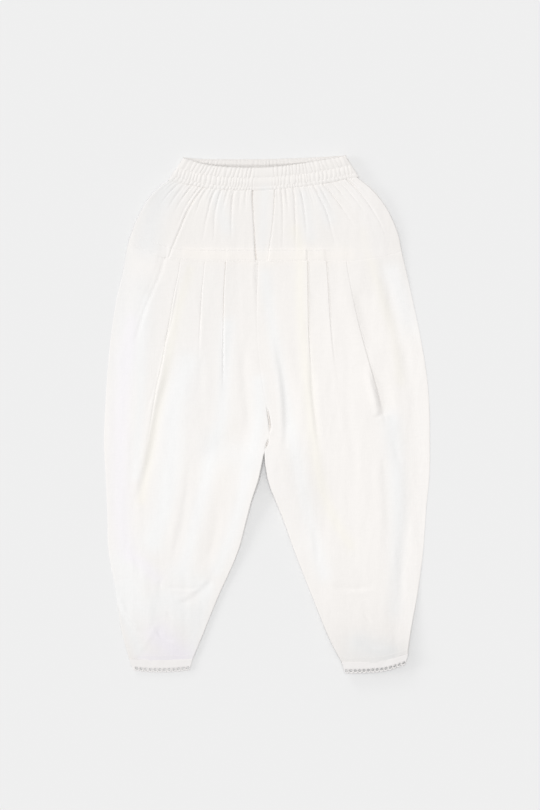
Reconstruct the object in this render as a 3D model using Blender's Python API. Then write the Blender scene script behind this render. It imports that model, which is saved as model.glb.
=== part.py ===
"""A child's tulip shalwar in white cotton, laid flat on its back.

+X is the wearer's left, +Y runs from the hems up to the waist and +Z is up from the surface.
The origin is on the surface under the middle of the garment. Sizes and tables are in millimetres.
Across a leg, 0 is its outer side and 1 is the centre seam or the inner side. Along a leg, 0 is the
seam at the yoke and 1 is the hem.
"""

from collections import namedtuple

import bmesh
import bpy
import numpy as np

MM = 0.001

# Walls and layers
WALL = 1.5
LAYER_GAP = 0.3
SEAM_GAP = 0.4
EDGE_ROLL = 14.0
EDGE_INSETS = (0.0, 2.0, 6.0, 13.0)

# Waistband: an elastic casing drawn up in two rows of puckers
BACK_BAND_HEIGHT = 3.0
BACK_PUCKER_DEPTH = 0.25
BAND_UNDERSIDE = 3.6
BAND_HEIGHT = 8.0
BAND_SWELL = 0.8
BAND_END_ROLL = 5.0
BAND_END_DROP = 1.2
BAND_ROWS = (0.0, 0.24, 0.5, 0.76, 1.0)
BAND_ROW_SWELLS = (-0.6, 1.0, -0.2, 1.0, -0.4)
BACK_BAND_ROWS = (0.0, 0.35, 1.0)
PUCKERS = 36
PUCKER_DEPTH = 0.55
PUCKER_SHIFT = 0.4
FLAT_STRIP = (-18.0, 6.0)
STRIP_FADE = 3.0

# Yoke: its seam allowance shows as a raised band that is stitched down
SEAM_BAND = 15.5
SEAM_BAND_RISE = 0.6
SEAM_BAND_EDGE = 1.4
STRIP_RISE = 0.7
STRIP_EDGE = 1.0
YOKE_DEPTH = 86.0
USUAL_YOKE_WIDTH = 290.0
UPPER_YOKE_ROWS = 7
UPPER_YOKE_EASE = 1.5
VALLEY_SHOULDER = 2.2
VALLEY_WIDTH = 1.6

# Hem lace
LACE_HEIGHT = 13.8
LACE_INSET = 4.0
LACE_WALL = 1.2
PICOT_DEPTH = 1.2
PICOTS = {"right": 13, "left": 14}

COTTON = (0.93, 0.905, 0.885)
LACE = (0.94, 0.92, 0.90)
CLOTH_ROUGHNESS = 0.85
SHARP_ANGLE = np.radians(40)

Sides = namedtuple("Sides", "y right left")
SIDES = [
    Sides(281, -118.0, 115.0),
    Sides(270, -136.0, 129.0),
    Sides(258, -142.5, 138.5),
    Sides(246, -150.0, 146.5),
    Sides(232, -157.0, 153.5),
    Sides(216, -163.0, 159.5),
    Sides(198, -168.0, 161.5),
    Sides(174, -172.0, 167.0),
    Sides(138, -180.5, 175.0),
    Sides(90, -187.5, 185.0),
    Sides(42, -192.0, 192.5),
    Sides(6, -194.0, 195.0),
    Sides(-30, -195.5, 195.5),
    Sides(-72, -193.5, 195.0),
    Sides(-114, -191.5, 191.0),
    Sides(-162, -190.0, 187.5),
    Sides(-210, -181.5, 181.5),
    Sides(-258, -174.5, 173.0),
    Sides(-300, -163.0, 167.0),
]

# The centre seam as far as the fork, then the inner side of each leg
Inner = namedtuple("Inner", "y right left")
INNER = [
    Inner(184, -10.3, -10.3),
    Inner(138, -12.0, -12.0),
    Inner(90, -11.3, -11.3),
    Inner(42, -6.0, -6.0),
    Inner(12, -0.5, -0.5),
    Inner(-4, 2.5, 2.5),
    Inner(-18, 3.7, 3.7),
    Inner(-34, -0.5, 0.2),
    Inner(-44, -4.0, -3.2),
    Inner(-54, -6.5, -2.3),
    Inner(-78, -12.0, 3.2),
    Inner(-102, -17.5, 12.0),
    Inner(-162, -33.8, 32.5),
    Inner(-222, -60.0, 56.0),
    Inner(-270, -79.3, 75.7),
    Inner(-300, -92.0, 91.5),
]

Band = namedtuple("Band", "across top_x front_top back_top low_x low_y")
BAND = [
    Band(0.000, -99.5, 308.7, 309.2, -118.0, 281.5),
    Band(0.125, -75.5, 300.8, 309.2, -89.8, 275.5),
    Band(0.250, -51.5, 298.1, 309.2, -61.5, 270.8),
    Band(0.500, -3.5, 297.1, 309.6, -5.0, 269.5),
    Band(0.750, 44.5, 302.3, 310.4, 51.5, 274.8),
    Band(1.000, 92.5, 311.0, 311.4, 108.0, 285.3),
]

Hem = namedtuple("Hem", "across right left")
HEM = [
    Hem(0.0, -294.5, -283.0),
    Hem(0.3, -295.2, -291.5),
    Hem(0.6, -295.2, -296.6),
    Hem(1.0, -292.8, -293.5),
]

# The top of the back layer, which is thicker where it is gathered, and the front's bulge
Layers = namedtuple("Layers", "y back bulge")
LAYERS = [
    Layers(290, 3.0, 3.3),
    Layers(184, 2.6, 3.1),
    Layers(90, 1.8, 2.8),
    Layers(0, 1.2, 2.5),
    Layers(-100, 1.2, 2.1),
    Layers(-220, 1.2, 1.5),
    Layers(-300, 1.2, 0.4),
]

# Where the yoke meets the legs: level across the middle, rising to each side
SEAM_Y = 183.7
SEAM_BEND = 80.0
SEAM_RUN = 86.0
SEAM_RISE = {"right": 22.5, "left": 14.0}

# Gathers below the waistband, as valleys that fan out and fade
Gather = namedtuple("Gather", "band_x seam_x depth length")
GATHERS = [
    Gather(-103.0, -152.0, 0.8, 0.35),
    Gather(-96.0, -142.0, 0.8, 0.40),
    Gather(-88.5, -133.0, 0.8, 0.40),
    Gather(-81.0, -122.0, 1.5, 1.20),
    Gather(-71.5, -100.0, 0.9, 0.40),
    Gather(-61.5, -80.0, 1.1, 0.75),
    Gather(-54.0, -66.0, 1.1, 0.80),
    Gather(-47.0, -55.0, 0.8, 0.35),
    Gather(-39.5, -42.0, 1.4, 0.70),
    Gather(-31.0, -33.0, 0.8, 0.35),
    Gather(-24.5, -24.5, 0.8, 0.30),
    Gather(17.0, 19.5, 1.1, 0.85),
    Gather(22.5, 26.0, 0.8, 0.35),
    Gather(31.0, 34.0, 1.4, 0.90),
    Gather(39.5, 46.0, 1.2, 0.70),
    Gather(48.5, 60.0, 0.8, 0.30),
    Gather(56.5, 70.0, 1.1, 0.70),
    Gather(65.0, 86.0, 0.9, 0.60),
    Gather(73.0, 105.0, 1.2, 0.55),
    Gather(82.0, 124.0, 0.9, 0.35),
    Gather(94.0, 146.0, 1.2, 0.75),
]

# The raised strip down the middle of the yoke
Strip = namedtuple("Strip", "band_x seam_x")
STRIP_EDGES = [Strip(-18.0, -12.0), Strip(6.0, -2.0)]

# Folds of each leg by their place across it at five levels. A knife pleat steps up towards the
# centre and slopes away behind its edge. A trough is a soft valley.
FOLD_LEVELS = (0.0, 0.2, 0.4, 0.6, 1.0)
Fold = namedtuple("Fold", "kind yoke thigh fork knee hem depth width start end")
FOLDS = {
    "right": [
        Fold("trough", 0.30, 0.165, 0.14, 0.14, 0.17, 1.2, 5.0, 0.00, 0.22),
        Fold("knife", 0.425, 0.384, 0.293, 0.24, 0.32, 2.0, 16.0, 0.00, 0.55),
        Fold("knife", 0.590, 0.609, 0.561, 0.53, 0.50, 2.2, 14.0, 0.00, 0.27),
        Fold("knife", 0.757, 0.762, 0.710, 0.68, 0.67, 2.2, 14.0, 0.00, 0.33),
        Fold("trough", 0.91, 0.91, 0.87, 0.84, 0.84, 1.0, 6.0, 0.22, 0.45),
    ],
    "left": [
        Fold("trough", 0.165, 0.128, 0.11, 0.12, 0.17, 1.1, 7.0, 0.00, 0.36),
        Fold("knife", 0.400, 0.345, 0.300, 0.29, 0.32, 2.6, 15.0, 0.00, 0.42),
        Fold("knife", 0.533, 0.546, 0.555, 0.53, 0.50, 2.2, 14.0, 0.00, 0.33),
        Fold("knife", 0.663, 0.686, 0.722, 0.69, 0.67, 2.4, 14.0, 0.00, 0.58),
        Fold("trough", 0.90, 0.89, 0.905, 0.86, 0.84, 1.5, 5.0, 0.12, 0.55),
    ],
}
STEP_WIDTH = 1.8
PLEAT_BACK = 8.0
FOLD_EASE = 0.04
FOLD_CORNER_SPREAD = 0.075
FORK_LEVELS = (0.34, 0.50)
LEG_ROWS = 9
FORK_EASE = (-25.0, 15.0)
COLUMN_SPACING = 15.0
LEAST_SPACING = 0.006
PLAIN_COLUMNS = {"yoke": 28, "leg": 14}
USUAL_LEG_WIDTH = 150.0


def column(table, name):
    return np.array([getattr(row, name) for row in table], float)


def curve(table, place, value):
    """A smooth function through two columns of a table: cubic pieces whose slope at each row is the
    mean of the slopes of the chords on its two sides."""
    places, values = column(table, place), column(table, value)
    order = np.argsort(places)
    places, values = places[order], values[order]
    chords = np.diff(values) / np.diff(places)
    slopes = np.concatenate([chords[:1], (chords[1:] + chords[:-1]) / 2, chords[-1:]])

    def at(where):
        where = np.clip(where, places[0], places[-1])
        i = np.clip(np.searchsorted(places, where) - 1, 0, len(places) - 2)
        span = places[i + 1] - places[i]
        u = (where - places[i]) / span
        ends = values[i] * (1 + 2 * u) * (1 - u) ** 2 + values[i + 1] * u**2 * (3 - 2 * u)
        return ends + span * u * (1 - u) * (slopes[i] * (1 - u) - slopes[i + 1] * u)

    return at


SIDE_AT = {side: curve(SIDES, "y", side) for side in ("right", "left")}
INNER_AT = {side: curve(INNER, "y", side) for side in ("right", "left")}
HEM_AT = {side: curve(HEM, "across", side) for side in ("right", "left")}
BACK_AT = curve(LAYERS, "y", "back")
BULGE_AT = curve(LAYERS, "y", "bulge")
BAND_AT = {name: curve(BAND, "across", name) for name in Band._fields[1:]}
BAND_LOW_AT = curve(BAND, "low_x", "low_y")


def smooth_step(low, high, value):
    """0 below low, 1 above high, with level ends."""
    u = np.clip((value - low) / (high - low), 0, 1)
    return u * u * (3 - 2 * u)


def roll(distance, radius=EDGE_ROLL):
    """A quarter round: 0 at an edge, 1 from the radius inwards."""
    u = np.clip(distance / radius, 0, 1)
    return np.sqrt(1 - (1 - u) ** 2)


def seam_y(x):
    """The seam at the yoke: level for SEAM_BEND to each side, then rising as a parabola."""
    past = np.clip((np.abs(x) - SEAM_BEND) / SEAM_RUN, 0, None)
    rise = np.where(x < 0, SEAM_RISE["right"], SEAM_RISE["left"])
    return SEAM_Y + rise * past**2


def edge_height(y):
    """The front's upper side at its edges: one wall and one gap above the back."""
    return BACK_AT(y) + LAYER_GAP + WALL


def front_bulge(x, y):
    """How far the front without its folds stands over its edges: a bulge that rolls off at the sides."""
    return BULGE_AT(y) * roll(np.minimum(x - SIDE_AT["right"](y), SIDE_AT["left"](y) - x))


def spread(lines):
    """Columns of points from lines across a piece, side by side on every row and never closer than
    LEAST_SPACING."""
    places = np.sort(np.stack(lines, axis=1), axis=1)
    steps = np.maximum(np.diff(places, axis=1), LEAST_SPACING)
    places = np.concatenate([places[:, :1], places[:, :1] + np.cumsum(steps, axis=1)], axis=1)
    return places / places[:, -1:]


def closed_mesh(top, under):
    """A body between two grids of points with the same columns. Where the lower grid has two rows
    and the upper one more, the ends are single faces."""
    rows, columns = top.shape[:2]
    low_rows = under.shape[0]
    points = np.concatenate([top.reshape(-1, 3), under.reshape(-1, 3)])
    upper = np.arange(rows * columns).reshape(rows, columns)
    lower = np.arange(low_rows * columns).reshape(low_rows, columns) + rows * columns
    faces = []
    for grid in (upper, lower):
        corners = np.stack([grid[:-1, :-1], grid[:-1, 1:], grid[1:, 1:], grid[1:, :-1]], axis=-1)
        faces.extend(corners.reshape(-1, 4).tolist())
    for row in (0, -1):
        first, second = upper[row], lower[row]
        faces.extend(np.stack([first[:-1], first[1:], second[1:], second[:-1]], axis=-1).tolist())
    for end in (0, -1):
        first, second = upper[:, end], lower[:, end]
        if rows == low_rows:
            faces.extend(np.stack([first[:-1], first[1:], second[1:], second[:-1]], axis=-1).tolist())
        else:
            faces.append(first.tolist() + second[::-1].tolist())
    return points * MM, faces


def turn_outward(mesh):
    work = bmesh.new()
    work.from_mesh(mesh)
    bmesh.ops.recalc_face_normals(work, faces=work.faces)
    work.to_mesh(mesh)
    work.free()


def add_piece(name, top, under, colour=COTTON):
    """One sewn piece as an object, with its faces pointing out and a cloth finish of its own."""
    points, faces = closed_mesh(top, under)
    mesh = bpy.data.meshes.new(name)
    mesh.from_pydata(points.tolist(), [], faces)
    turn_outward(mesh)
    mesh.shade_smooth()
    mesh.set_sharp_from_angle(angle=SHARP_ANGLE)
    mesh.materials.append(cloth_material(name + "_cloth", colour))
    bpy.context.scene.collection.objects.link(bpy.data.objects.new(name, mesh))


def cloth_material(name, colour):
    material = bpy.data.materials.new(name)
    material.use_nodes = True
    shader = material.node_tree.nodes["Principled BSDF"]
    shader.inputs["Base Color"].default_value = (*colour, 1)
    shader.inputs["Roughness"].default_value = CLOTH_ROUGHNESS
    shader.inputs["Metallic"].default_value = 0.0
    return material


def stack(x, y, z):
    return np.stack(np.broadcast_arrays(x, y, z), axis=-1)


def waistband_front():
    """The casing over its elastic: two swells with a stitched line between, drawn into puckers that
    shift from one row to the next and stop at the flat strip."""
    across = np.linspace(0, 1, 3 * PUCKERS + 1)
    down, swell = np.array([BAND_ROWS, BAND_ROW_SWELLS])[:, :, None]
    x = BAND_AT["top_x"](across) * (1 - down) + BAND_AT["low_x"](across) * down
    y = BAND_AT["front_top"](across) * (1 - down) + (BAND_AT["low_y"](across) + SEAM_GAP / 2) * down
    beside_strip = np.maximum(FLAT_STRIP[0] - x, x - FLAT_STRIP[1])
    drawn_up = smooth_step(-STRIP_FADE, 0, beside_strip)
    waves = np.cos(2 * np.pi * (PUCKERS * across + PUCKER_SHIFT * (down > 0.5)))
    from_end = np.minimum(across, 1 - across) * (BAND[-1].low_x - BAND[0].low_x)
    ends = BAND_END_DROP * (1 - roll(from_end, BAND_END_ROLL))
    z = BAND_HEIGHT + BAND_SWELL * swell + PUCKER_DEPTH * waves * drawn_up - ends
    under = stack(x, y, BAND_UNDERSIDE)[[0, -1]]
    add_piece("waistband_front", stack(x, y, z), under)


def waistband_back():
    """The back of the casing, flat where it rests. Its top edge stands above the front one."""
    across = np.linspace(0, 1, 2 * PUCKERS + 1)
    down = np.array(BACK_BAND_ROWS)[:, None]
    x = BAND_AT["top_x"](across) * (1 - down) + BAND_AT["low_x"](across) * down
    y = BAND_AT["back_top"](across) * (1 - down) + (BAND_AT["low_y"](across) + SEAM_GAP / 2) * down
    waves = np.cos(2 * np.pi * PUCKERS * across)
    z = BACK_BAND_HEIGHT + BACK_PUCKER_DEPTH * waves
    under = stack(x, y, 0)[[0, -1]]
    add_piece("waistband_back", stack(x, y, z), under)


def yoke_line(band_x, seam_x, down):
    """A line's place across the yoke, from its place at the band to its place at the seam."""
    places = []
    for x, y in ((band_x, BAND_LOW_AT(band_x)), (seam_x, seam_y(seam_x))):
        right, left = SIDE_AT["right"](y), SIDE_AT["left"](y)
        places.append((x - right) / (left - right))
    return places[0] * (1 - down) + places[1] * down


def yoke_grid(across, down):
    """Points of the yoke. Each row lies part of the way from the band's lower edge to the seam, and
    runs from side to side of the outline."""
    band_x = BAND[0].low_x * (1 - across[:1]) + BAND[-1].low_x * across[:1]
    band_edge = BAND_LOW_AT(band_x) - SEAM_GAP / 2
    seam_ends = [SIDE_AT[side](SEAM_Y + SEAM_RISE[side]) for side in ("right", "left")]
    seam_edge = seam_y(seam_ends[0] * (1 - across[-1:]) + seam_ends[1] * across[-1:]) + SEAM_GAP / 2
    y = band_edge * (1 - down[:, None]) + seam_edge * down[:, None]
    x = SIDE_AT["right"](y) * (1 - across) + SIDE_AT["left"](y) * across
    return x, y, seam_edge


def yoke_rows():
    """Levels down the yoke: closest at the top, where its sides curve most, with a close pair at
    the upper edge of the seam band."""
    low_rows = 1 - np.array([SEAM_BAND + SEAM_BAND_EDGE, SEAM_BAND, 0.0]) / YOKE_DEPTH
    upper = low_rows[0] * np.linspace(0, 1, UPPER_YOKE_ROWS) ** UPPER_YOKE_EASE
    return np.concatenate([upper[:-1], low_rows])


def yoke_front():
    """The front yoke: valleys of the gathers fan out below the band, the middle strip stands
    proud, and the seam allowance is a raised band along the lower edge."""
    down = yoke_rows()
    edges = [yoke_line(strip.band_x, strip.seam_x, down) for strip in STRIP_EDGES]
    valleys = [yoke_line(gather.band_x, gather.seam_x, down) for gather in GATHERS]
    insets = np.array(EDGE_INSETS) / USUAL_YOKE_WIDTH
    lines = [np.full_like(down, place) for place in [*insets, *(1 - insets)]]
    for centres, reach in ((edges, STRIP_EDGE), (valleys, VALLEY_SHOULDER)):
        for centre in centres:
            lines += [centre - reach / USUAL_YOKE_WIDTH, centre + reach / USUAL_YOKE_WIDTH]
    lines += valleys
    across = spread(lines)
    x, y, seam_edge = yoke_grid(across, down)
    width = SIDE_AT["left"](y) - SIDE_AT["right"](y)
    z = edge_height(y) + front_bulge(x, y)
    for gather, valley in zip(GATHERS, valleys):
        away = (across - valley[:, None]) * width
        fade = np.clip(1 - down / gather.length, 0, 1)[:, None]
        z -= gather.depth * fade * np.exp(-((away / VALLEY_WIDTH) ** 2))
    for edge, sign in zip(edges, (1, -1)):
        inside = sign * (across - edge[:, None]) * width
        z += STRIP_RISE * (smooth_step(-STRIP_EDGE, STRIP_EDGE, inside) - 0.5)
    z += SEAM_BAND_RISE * smooth_step(-SEAM_BAND - SEAM_BAND_EDGE, -SEAM_BAND, seam_edge - y)
    z = np.maximum(z, edge_height(y))
    add_piece("yoke_front", stack(x, y, z), stack(x, y, z - WALL))


def yoke_back():
    """The back yoke, flat on the surface under the front one."""
    down = yoke_rows()
    across = np.tile(np.linspace(0, 1, PLAIN_COLUMNS["yoke"]), (len(down), 1))
    x, y, _ = yoke_grid(across, down)
    add_piece("yoke_back", stack(x, y, BACK_AT(y)), stack(x, y, 0))


def leg_rows():
    """Levels along a leg, closer together round the fork."""
    start, end = FORK_LEVELS
    parts = [np.linspace(*ends, LEG_ROWS) for ends in ((0, start), (start, end), (end, 1))]
    return np.unique(np.concatenate(parts))


def fold_line(fold, along):
    """A fold's place across the leg: straight between its five levels, with the corners eased."""
    places = [fold.yoke, fold.thigh, fold.fork, fold.knee, fold.hem]
    nearby = along + np.array([-1.0, -0.5, 0.0, 0.5, 1.0])[:, None] * FOLD_CORNER_SPREAD
    return np.interp(nearby, FOLD_LEVELS, places).mean(axis=0)


def leg_columns(side, along):
    """Lines across a leg that follow its folds, with more between them where they are far apart."""
    insets = np.array(EDGE_INSETS) / USUAL_LEG_WIDTH
    lines = [np.full_like(along, place) for place in [*insets, *(1 - insets)]]
    for fold in FOLDS[side]:
        reach = (-STEP_WIDTH, STEP_WIDTH, PLEAT_BACK)
        if fold.kind == "trough":
            reach = (-fold.width, 0, fold.width)
        lines += [fold_line(fold, along) + offset / USUAL_LEG_WIDTH for offset in reach]
    lines.sort(key=lambda line: line[0])
    filled = lines[:1]
    for line in lines[1:]:
        last = filled[-1]
        between = int(np.max(line - last) * USUAL_LEG_WIDTH // COLUMN_SPACING)
        filled += [last + (line - last) * (i + 1) / (between + 1) for i in range(between)]
        filled.append(line)
    return spread(filled)


def leg_grid(side, across, along):
    """Points of a leg: from the seam at the yoke to the hem, and from the outer side to the inner."""
    sign = -1 if side == "right" else 1
    level = along[:, None]
    outer_x = SIDE_AT[side](SEAM_Y + SEAM_RISE[side])
    top_x = outer_x * (1 - across[:1]) + INNER_AT[side](SEAM_Y) * across[:1]
    top = seam_y(top_x) - SEAM_GAP / 2
    y = top * (1 - level) + HEM_AT[side](across[-1:]) * level
    inner = INNER_AT[side](y) + sign * SEAM_GAP / 2
    outer = SIDE_AT[side](y)
    return outer * (1 - across) + inner * across, y, np.abs(inner - outer)


def fold_relief(side, across, along, width):
    """Height that a leg's pleats and troughs add. A knife pleat steps up at its edge and slopes
    away behind it, a trough is a valley with soft sides, and both fade out down the leg."""
    relief = np.zeros_like(across)
    for fold in FOLDS[side]:
        away = (across - fold_line(fold, along)[:, None]) * width
        starts = 1 if fold.start == 0 else smooth_step(-FOLD_EASE, FOLD_EASE, along - fold.start)
        fade = starts * (1 - smooth_step((fold.start + fold.end) / 2, fold.end, along))
        shape = -np.exp(-((away / fold.width) ** 2))
        if fold.kind == "knife":
            shape = smooth_step(-STEP_WIDTH, STEP_WIDTH, away)
            shape = shape * np.exp(-np.clip(away, 0, None) / fold.width)
        relief += fold.depth * fade[:, None] * shape
    return relief


def leg_front(side):
    """A leg's front: the bulge of the front and its folds, rolled off at the inner side below the
    fork."""
    along = leg_rows()
    across = leg_columns(side, along)
    x, y, width = leg_grid(side, across, along)
    below_fork = smooth_step(*FORK_EASE, -y)
    inner_roll = roll((1 - across) * width)
    bulge = front_bulge(x, y) * (1 - below_fork * (1 - inner_roll))
    z = edge_height(y) + bulge + fold_relief(side, across, along, width) * inner_roll
    z = np.maximum(z, edge_height(y))
    add_piece(f"leg_{side}_front", stack(x, y, z), stack(x, y, z - WALL))


def leg_back(side):
    """A leg's back, flat on the surface under its front."""
    along = leg_rows()
    across = np.tile(np.linspace(0, 1, PLAIN_COLUMNS["leg"]), (len(along), 1))
    x, y, _ = leg_grid(side, across, along)
    add_piece(f"leg_{side}_back", stack(x, y, BACK_AT(y)), stack(x, y, 0))


def lace(side, layer, underside):
    """A strip of hem lace whose lower edge is a row of picots."""
    picots = PICOTS[side]
    across = np.linspace(0, 1, 3 * picots + 1)
    sign = -1 if side == "right" else 1
    top_y = HEM_AT[side](across) - SEAM_GAP
    outer, inner = SIDE_AT[side](top_y[0]), INNER_AT[side](top_y[-1]) + sign * SEAM_GAP / 2
    top_x = outer * (1 - across) + inner * across
    low_x = (outer - sign * LACE_INSET) * (1 - across) + (inner + sign * LACE_INSET) * across
    low_y = top_y - LACE_HEIGHT + PICOT_DEPTH * np.sin(np.pi * picots * across) ** 2
    x, y = np.stack([top_x, low_x]), np.stack([top_y, low_y])
    add_piece(f"lace_{side}_{layer}", stack(x, y, underside + LACE_WALL), stack(x, y, underside), LACE)


def main():
    for obj in list(bpy.data.objects):
        bpy.data.objects.remove(obj)
    waistband_front()
    waistband_back()
    yoke_front()
    yoke_back()
    for side in ("right", "left"):
        leg_front(side)
        leg_back(side)
        lace(side, "back", 0)
        lace(side, "front", LACE_WALL + LAYER_GAP)


main()
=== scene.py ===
"""The looks of a child's tulip shalwar in white cotton, laid flat on its back.

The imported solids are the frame: +X is the wearer's left, +Y runs from the hems up to the waist and
+Z is up from the surface. Sizes and tables are in millimetres, and meshes are in metres. Across a
leg, 0 is its outer side and 1 is the centre seam or the inner side. Along a leg, 0 is the seam at
the yoke and 1 is the hem. Each piece of cloth is a thin closed shell on its solid's form.
"""

from collections import namedtuple

import bpy
import numpy as np
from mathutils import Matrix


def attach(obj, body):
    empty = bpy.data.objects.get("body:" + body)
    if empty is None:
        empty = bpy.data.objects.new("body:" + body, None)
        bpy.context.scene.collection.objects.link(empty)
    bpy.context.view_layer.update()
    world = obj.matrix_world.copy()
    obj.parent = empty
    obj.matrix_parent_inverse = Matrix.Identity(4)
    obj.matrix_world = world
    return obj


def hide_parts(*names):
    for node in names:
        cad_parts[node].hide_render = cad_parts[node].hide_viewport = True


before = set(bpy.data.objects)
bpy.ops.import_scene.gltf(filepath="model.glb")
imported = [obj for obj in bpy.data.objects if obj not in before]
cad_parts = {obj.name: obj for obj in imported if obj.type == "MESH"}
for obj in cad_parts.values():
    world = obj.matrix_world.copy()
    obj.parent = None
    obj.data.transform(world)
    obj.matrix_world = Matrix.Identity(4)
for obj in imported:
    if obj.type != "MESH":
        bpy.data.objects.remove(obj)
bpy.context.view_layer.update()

MM = 0.001
BOTH = ("right", "left")
TINY = 1e-9
SHARP_ANGLE = np.radians(50)

# Cloth and layers
CLOTH = 0.4
WALL = 1.5
LAYER_GAP = 0.3
FLOOR_GAP = 0.02
EDGE_ROLL = 14.0
EDGE_ROUND = 1.1
EDGE_RISE = 40.0
EDGE_START = 0.15
RELIEF_EDGE = 8.0
RIM = 0.1
RIM_SHARE = 0.6
CREASE_REACH = 4.0
LEAN_REACH = 1.6

# The back, which lies on the surface but for its valleys and its edges
BACK_DROP = 0.9
BACK_CURL = 6.0
BACK_INSET = 0.5
BACK_REACH = 2.0
BACK_EDGE = 12.0
YOKE_BACK_LEVEL = 0.7
YOKE_BACK_SHARE = 0.8
YOKE_BACK_SEED = 60
LEG_BACK_LEVEL = 0.6
LEG_BACK_SHARE = 0.55
LEG_BACK_SEED = 31

# Lines of points: how close they lie at the edges, and the usual spacing between
EDGE_INSETS = (0.0, 0.03, 0.1, 0.25, 0.5, 0.85, 1.3, 2.0, 3.2, 5.0, 7.5, 10.5, 14.0)
LEAST_SPACING = 0.0004
USUAL_LEG_WIDTH = 150.0
USUAL_YOKE_WIDTH = 290.0
LEG_SPACING = 1.9
LEG_BACK_SPACING = 2.4
YOKE_SPACING = 1.7

# Waistband: a casing over its elastic, sewn through in two rows that are given as shares of its depth
BAND_HEIGHT = 8.0
BAND_RIM = 4.2
BAND_TOP_ROUND = 2.2
BAND_END = 7.0
BAND_END_ROUND = 3.0
BAND_THICKNESS = 1.0
BAND_SWELL = 0.8
BAND_WAVE = 0.25
BAND_WAVE_SIZE = (9.0, 14.0)
BAND_WAVE_SEED = 41
SEWN_ROWS = (0.455, 0.825)
TUNNEL_EASE = 0.02
TOP_SCALLOP = 1.0
TOP_SCALLOP_REACH = 0.15
FLAT_STRIP = (-16.5, 7.0)
STRIP_FADE = (-3.0, 1.0)
STRIP_PUCKER = 0.12

# The band's back half, from its outside and, above the dip of the front, from its inside
BACK_BAND_LEVEL = 0.5
BACK_BAND_SWELL = 0.25
BACK_BAND_PUCKER = 0.5
BACK_BAND_END = 4.0
BACK_BAND_THICKNESS = 2.5
BACK_BAND_RIM = 0.3
BACK_BAND_ROUND = 3.6
BACK_BAND_THINS = 0.6
BACK_BAND_THINNER = (5.5, 9.5)
BACK_BAND_GROOVE = 0.9
BACK_BAND_GROOVE_AT = 1.1
BACK_BAND_GROOVE_WIDTH = 0.6
INSIDE_PUCKER = 0.5
INSIDE_PUCKER_LEVEL = 0.3
INSIDE_PUCKER_RISE = (1.0, 3.5)
# Painted shade: the back half's white is darkened by this factor, for the inside that shows in shade above
# the front's dip
INSIDE_PAINTED_SHADE = 0.94

# Puckers, as cusped waves. Each tunnel has more of them than the one above, and shifts them
PUCKERS = 43
MORE_PUCKERS = 4
PUCKER_SHIFT = 0.37
PUCKER_LEAN = 1.6
PUCKER_CUSP = 0.8
PUCKER_MEAN = 0.62
PUCKER_USUAL = 0.66
PUCKER_HEIGHT = 0.95
PUCKER_AT_TOP = 0.6
PUCKER_TOP_RUN = (-0.02, 0.1)
FINE_PUCKERS = 2.3
FINE_PUCKERS_DRIFT = 0.7
FINE_PUCKERS_MEAN = 0.64
FINE_PUCKERS_SHARE = 0.3
FINE_PUCKERS_MOST = 1.2
FRONT_PUCKERS_SEED = 5
BACK_PUCKERS_SEED = 17
INSIDE_PUCKERS_SEED = 23

# How uneven they are: by how much, and how often that changes across and down the band
Uneven = namedtuple("Uneven", "amount across tunnel down start seed")
PUCKER_DRIFT = Uneven(0.75, 13, 7.3, 0.0, 0.5, 0)
PUCKER_WANDER = Uneven(0.22, 41, 3.7, 2.0, 0.0, 2)
PUCKER_DEPTH = Uneven(0.34, 37, 5.1, 1.5, 0.0, 1)

# Yoke: its gathers, fine puckers under the band, middle strip, and the seam band above the legs
YOKE_TUCK = 2.0
YOKE_TUCK_DEPTH = 0.8
YOKE_TUCK_RUN = (-0.8, 1.0)
BAND_FOOT = 7.7
BAND_SLOPE = (-2.0, 34.0)
SEAM_TURN = 0.15
SEAM_TURN_RUN = 1.8
GATHER_WIDTH = 0.95
GATHER_DEPTH = 0.94
GATHER_OPENS = 0.1
GATHER_UNDER_BAND = 0.5
GATHER_TAPER = 0.8
GATHER_WANDER = 1.3
GATHER_WANDER_PACE = 3.1
GATHER_WANDER_RUN = 0.3
GATHER_WANDER_SEED = 7
SHOULDER = 0.15
SHOULDER_AWAY = 3.2
SHOULDER_WIDTH = 1.9
GATHER_OFFSETS = (-1.9, -0.8, 0.0, 0.8, 1.9)
YOKE_PUCKER_DEPTH = 0.9
YOKE_PUCKER_LEVEL = 0.9
YOKE_PUCKER_REACH = 0.24
YOKE_PUCKER_UNEVEN = 0.6
YOKE_PUCKER_PACE = 41
YOKE_RIPPLES = 0.8
STRIP_SINK = 0.35
STRIP_EDGE = 0.6
STRIP_GROOVE_OUT = 0.9
STRIP_GROOVE_WIDTH = 0.7
STRIP_OFFSETS = (-2.2, -1.5, -0.9, -0.4, 0.1, 0.6, 1.1, 1.7, 2.4)
SEAM_BAND = 15.5
SEAM_BAND_RISE = 0.6
SEAM_BAND_EDGE = 1.6
SEAM_BAND_SOFTENS = 9.0
SEAM_BAND_FADE = (66.0, 96.0)
SEAM_BAND_FADES = 0.7
SEAM_BAND_ON_STRIP = 0.5
SEAM_BAND_WAVE = 0.1
SEAM_BAND_WAVE_SIZE = (7.0, 30.0)
SEAM_ROWS = (1.9, 13.3)
SEAM_ROW_DEPTH = 0.2
SEAM_ROW_WIDTH = 0.7
PLEATS_PRESSED = 0.55
YOKE_LAST_ROWS = (17.5, 16.4, 15.5, 14.6, 13.9, 13.3, 12.6, 3.4, 2.6, 1.9, 1.2, 0.8, 0.4, 0.15, 0.0)

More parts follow.
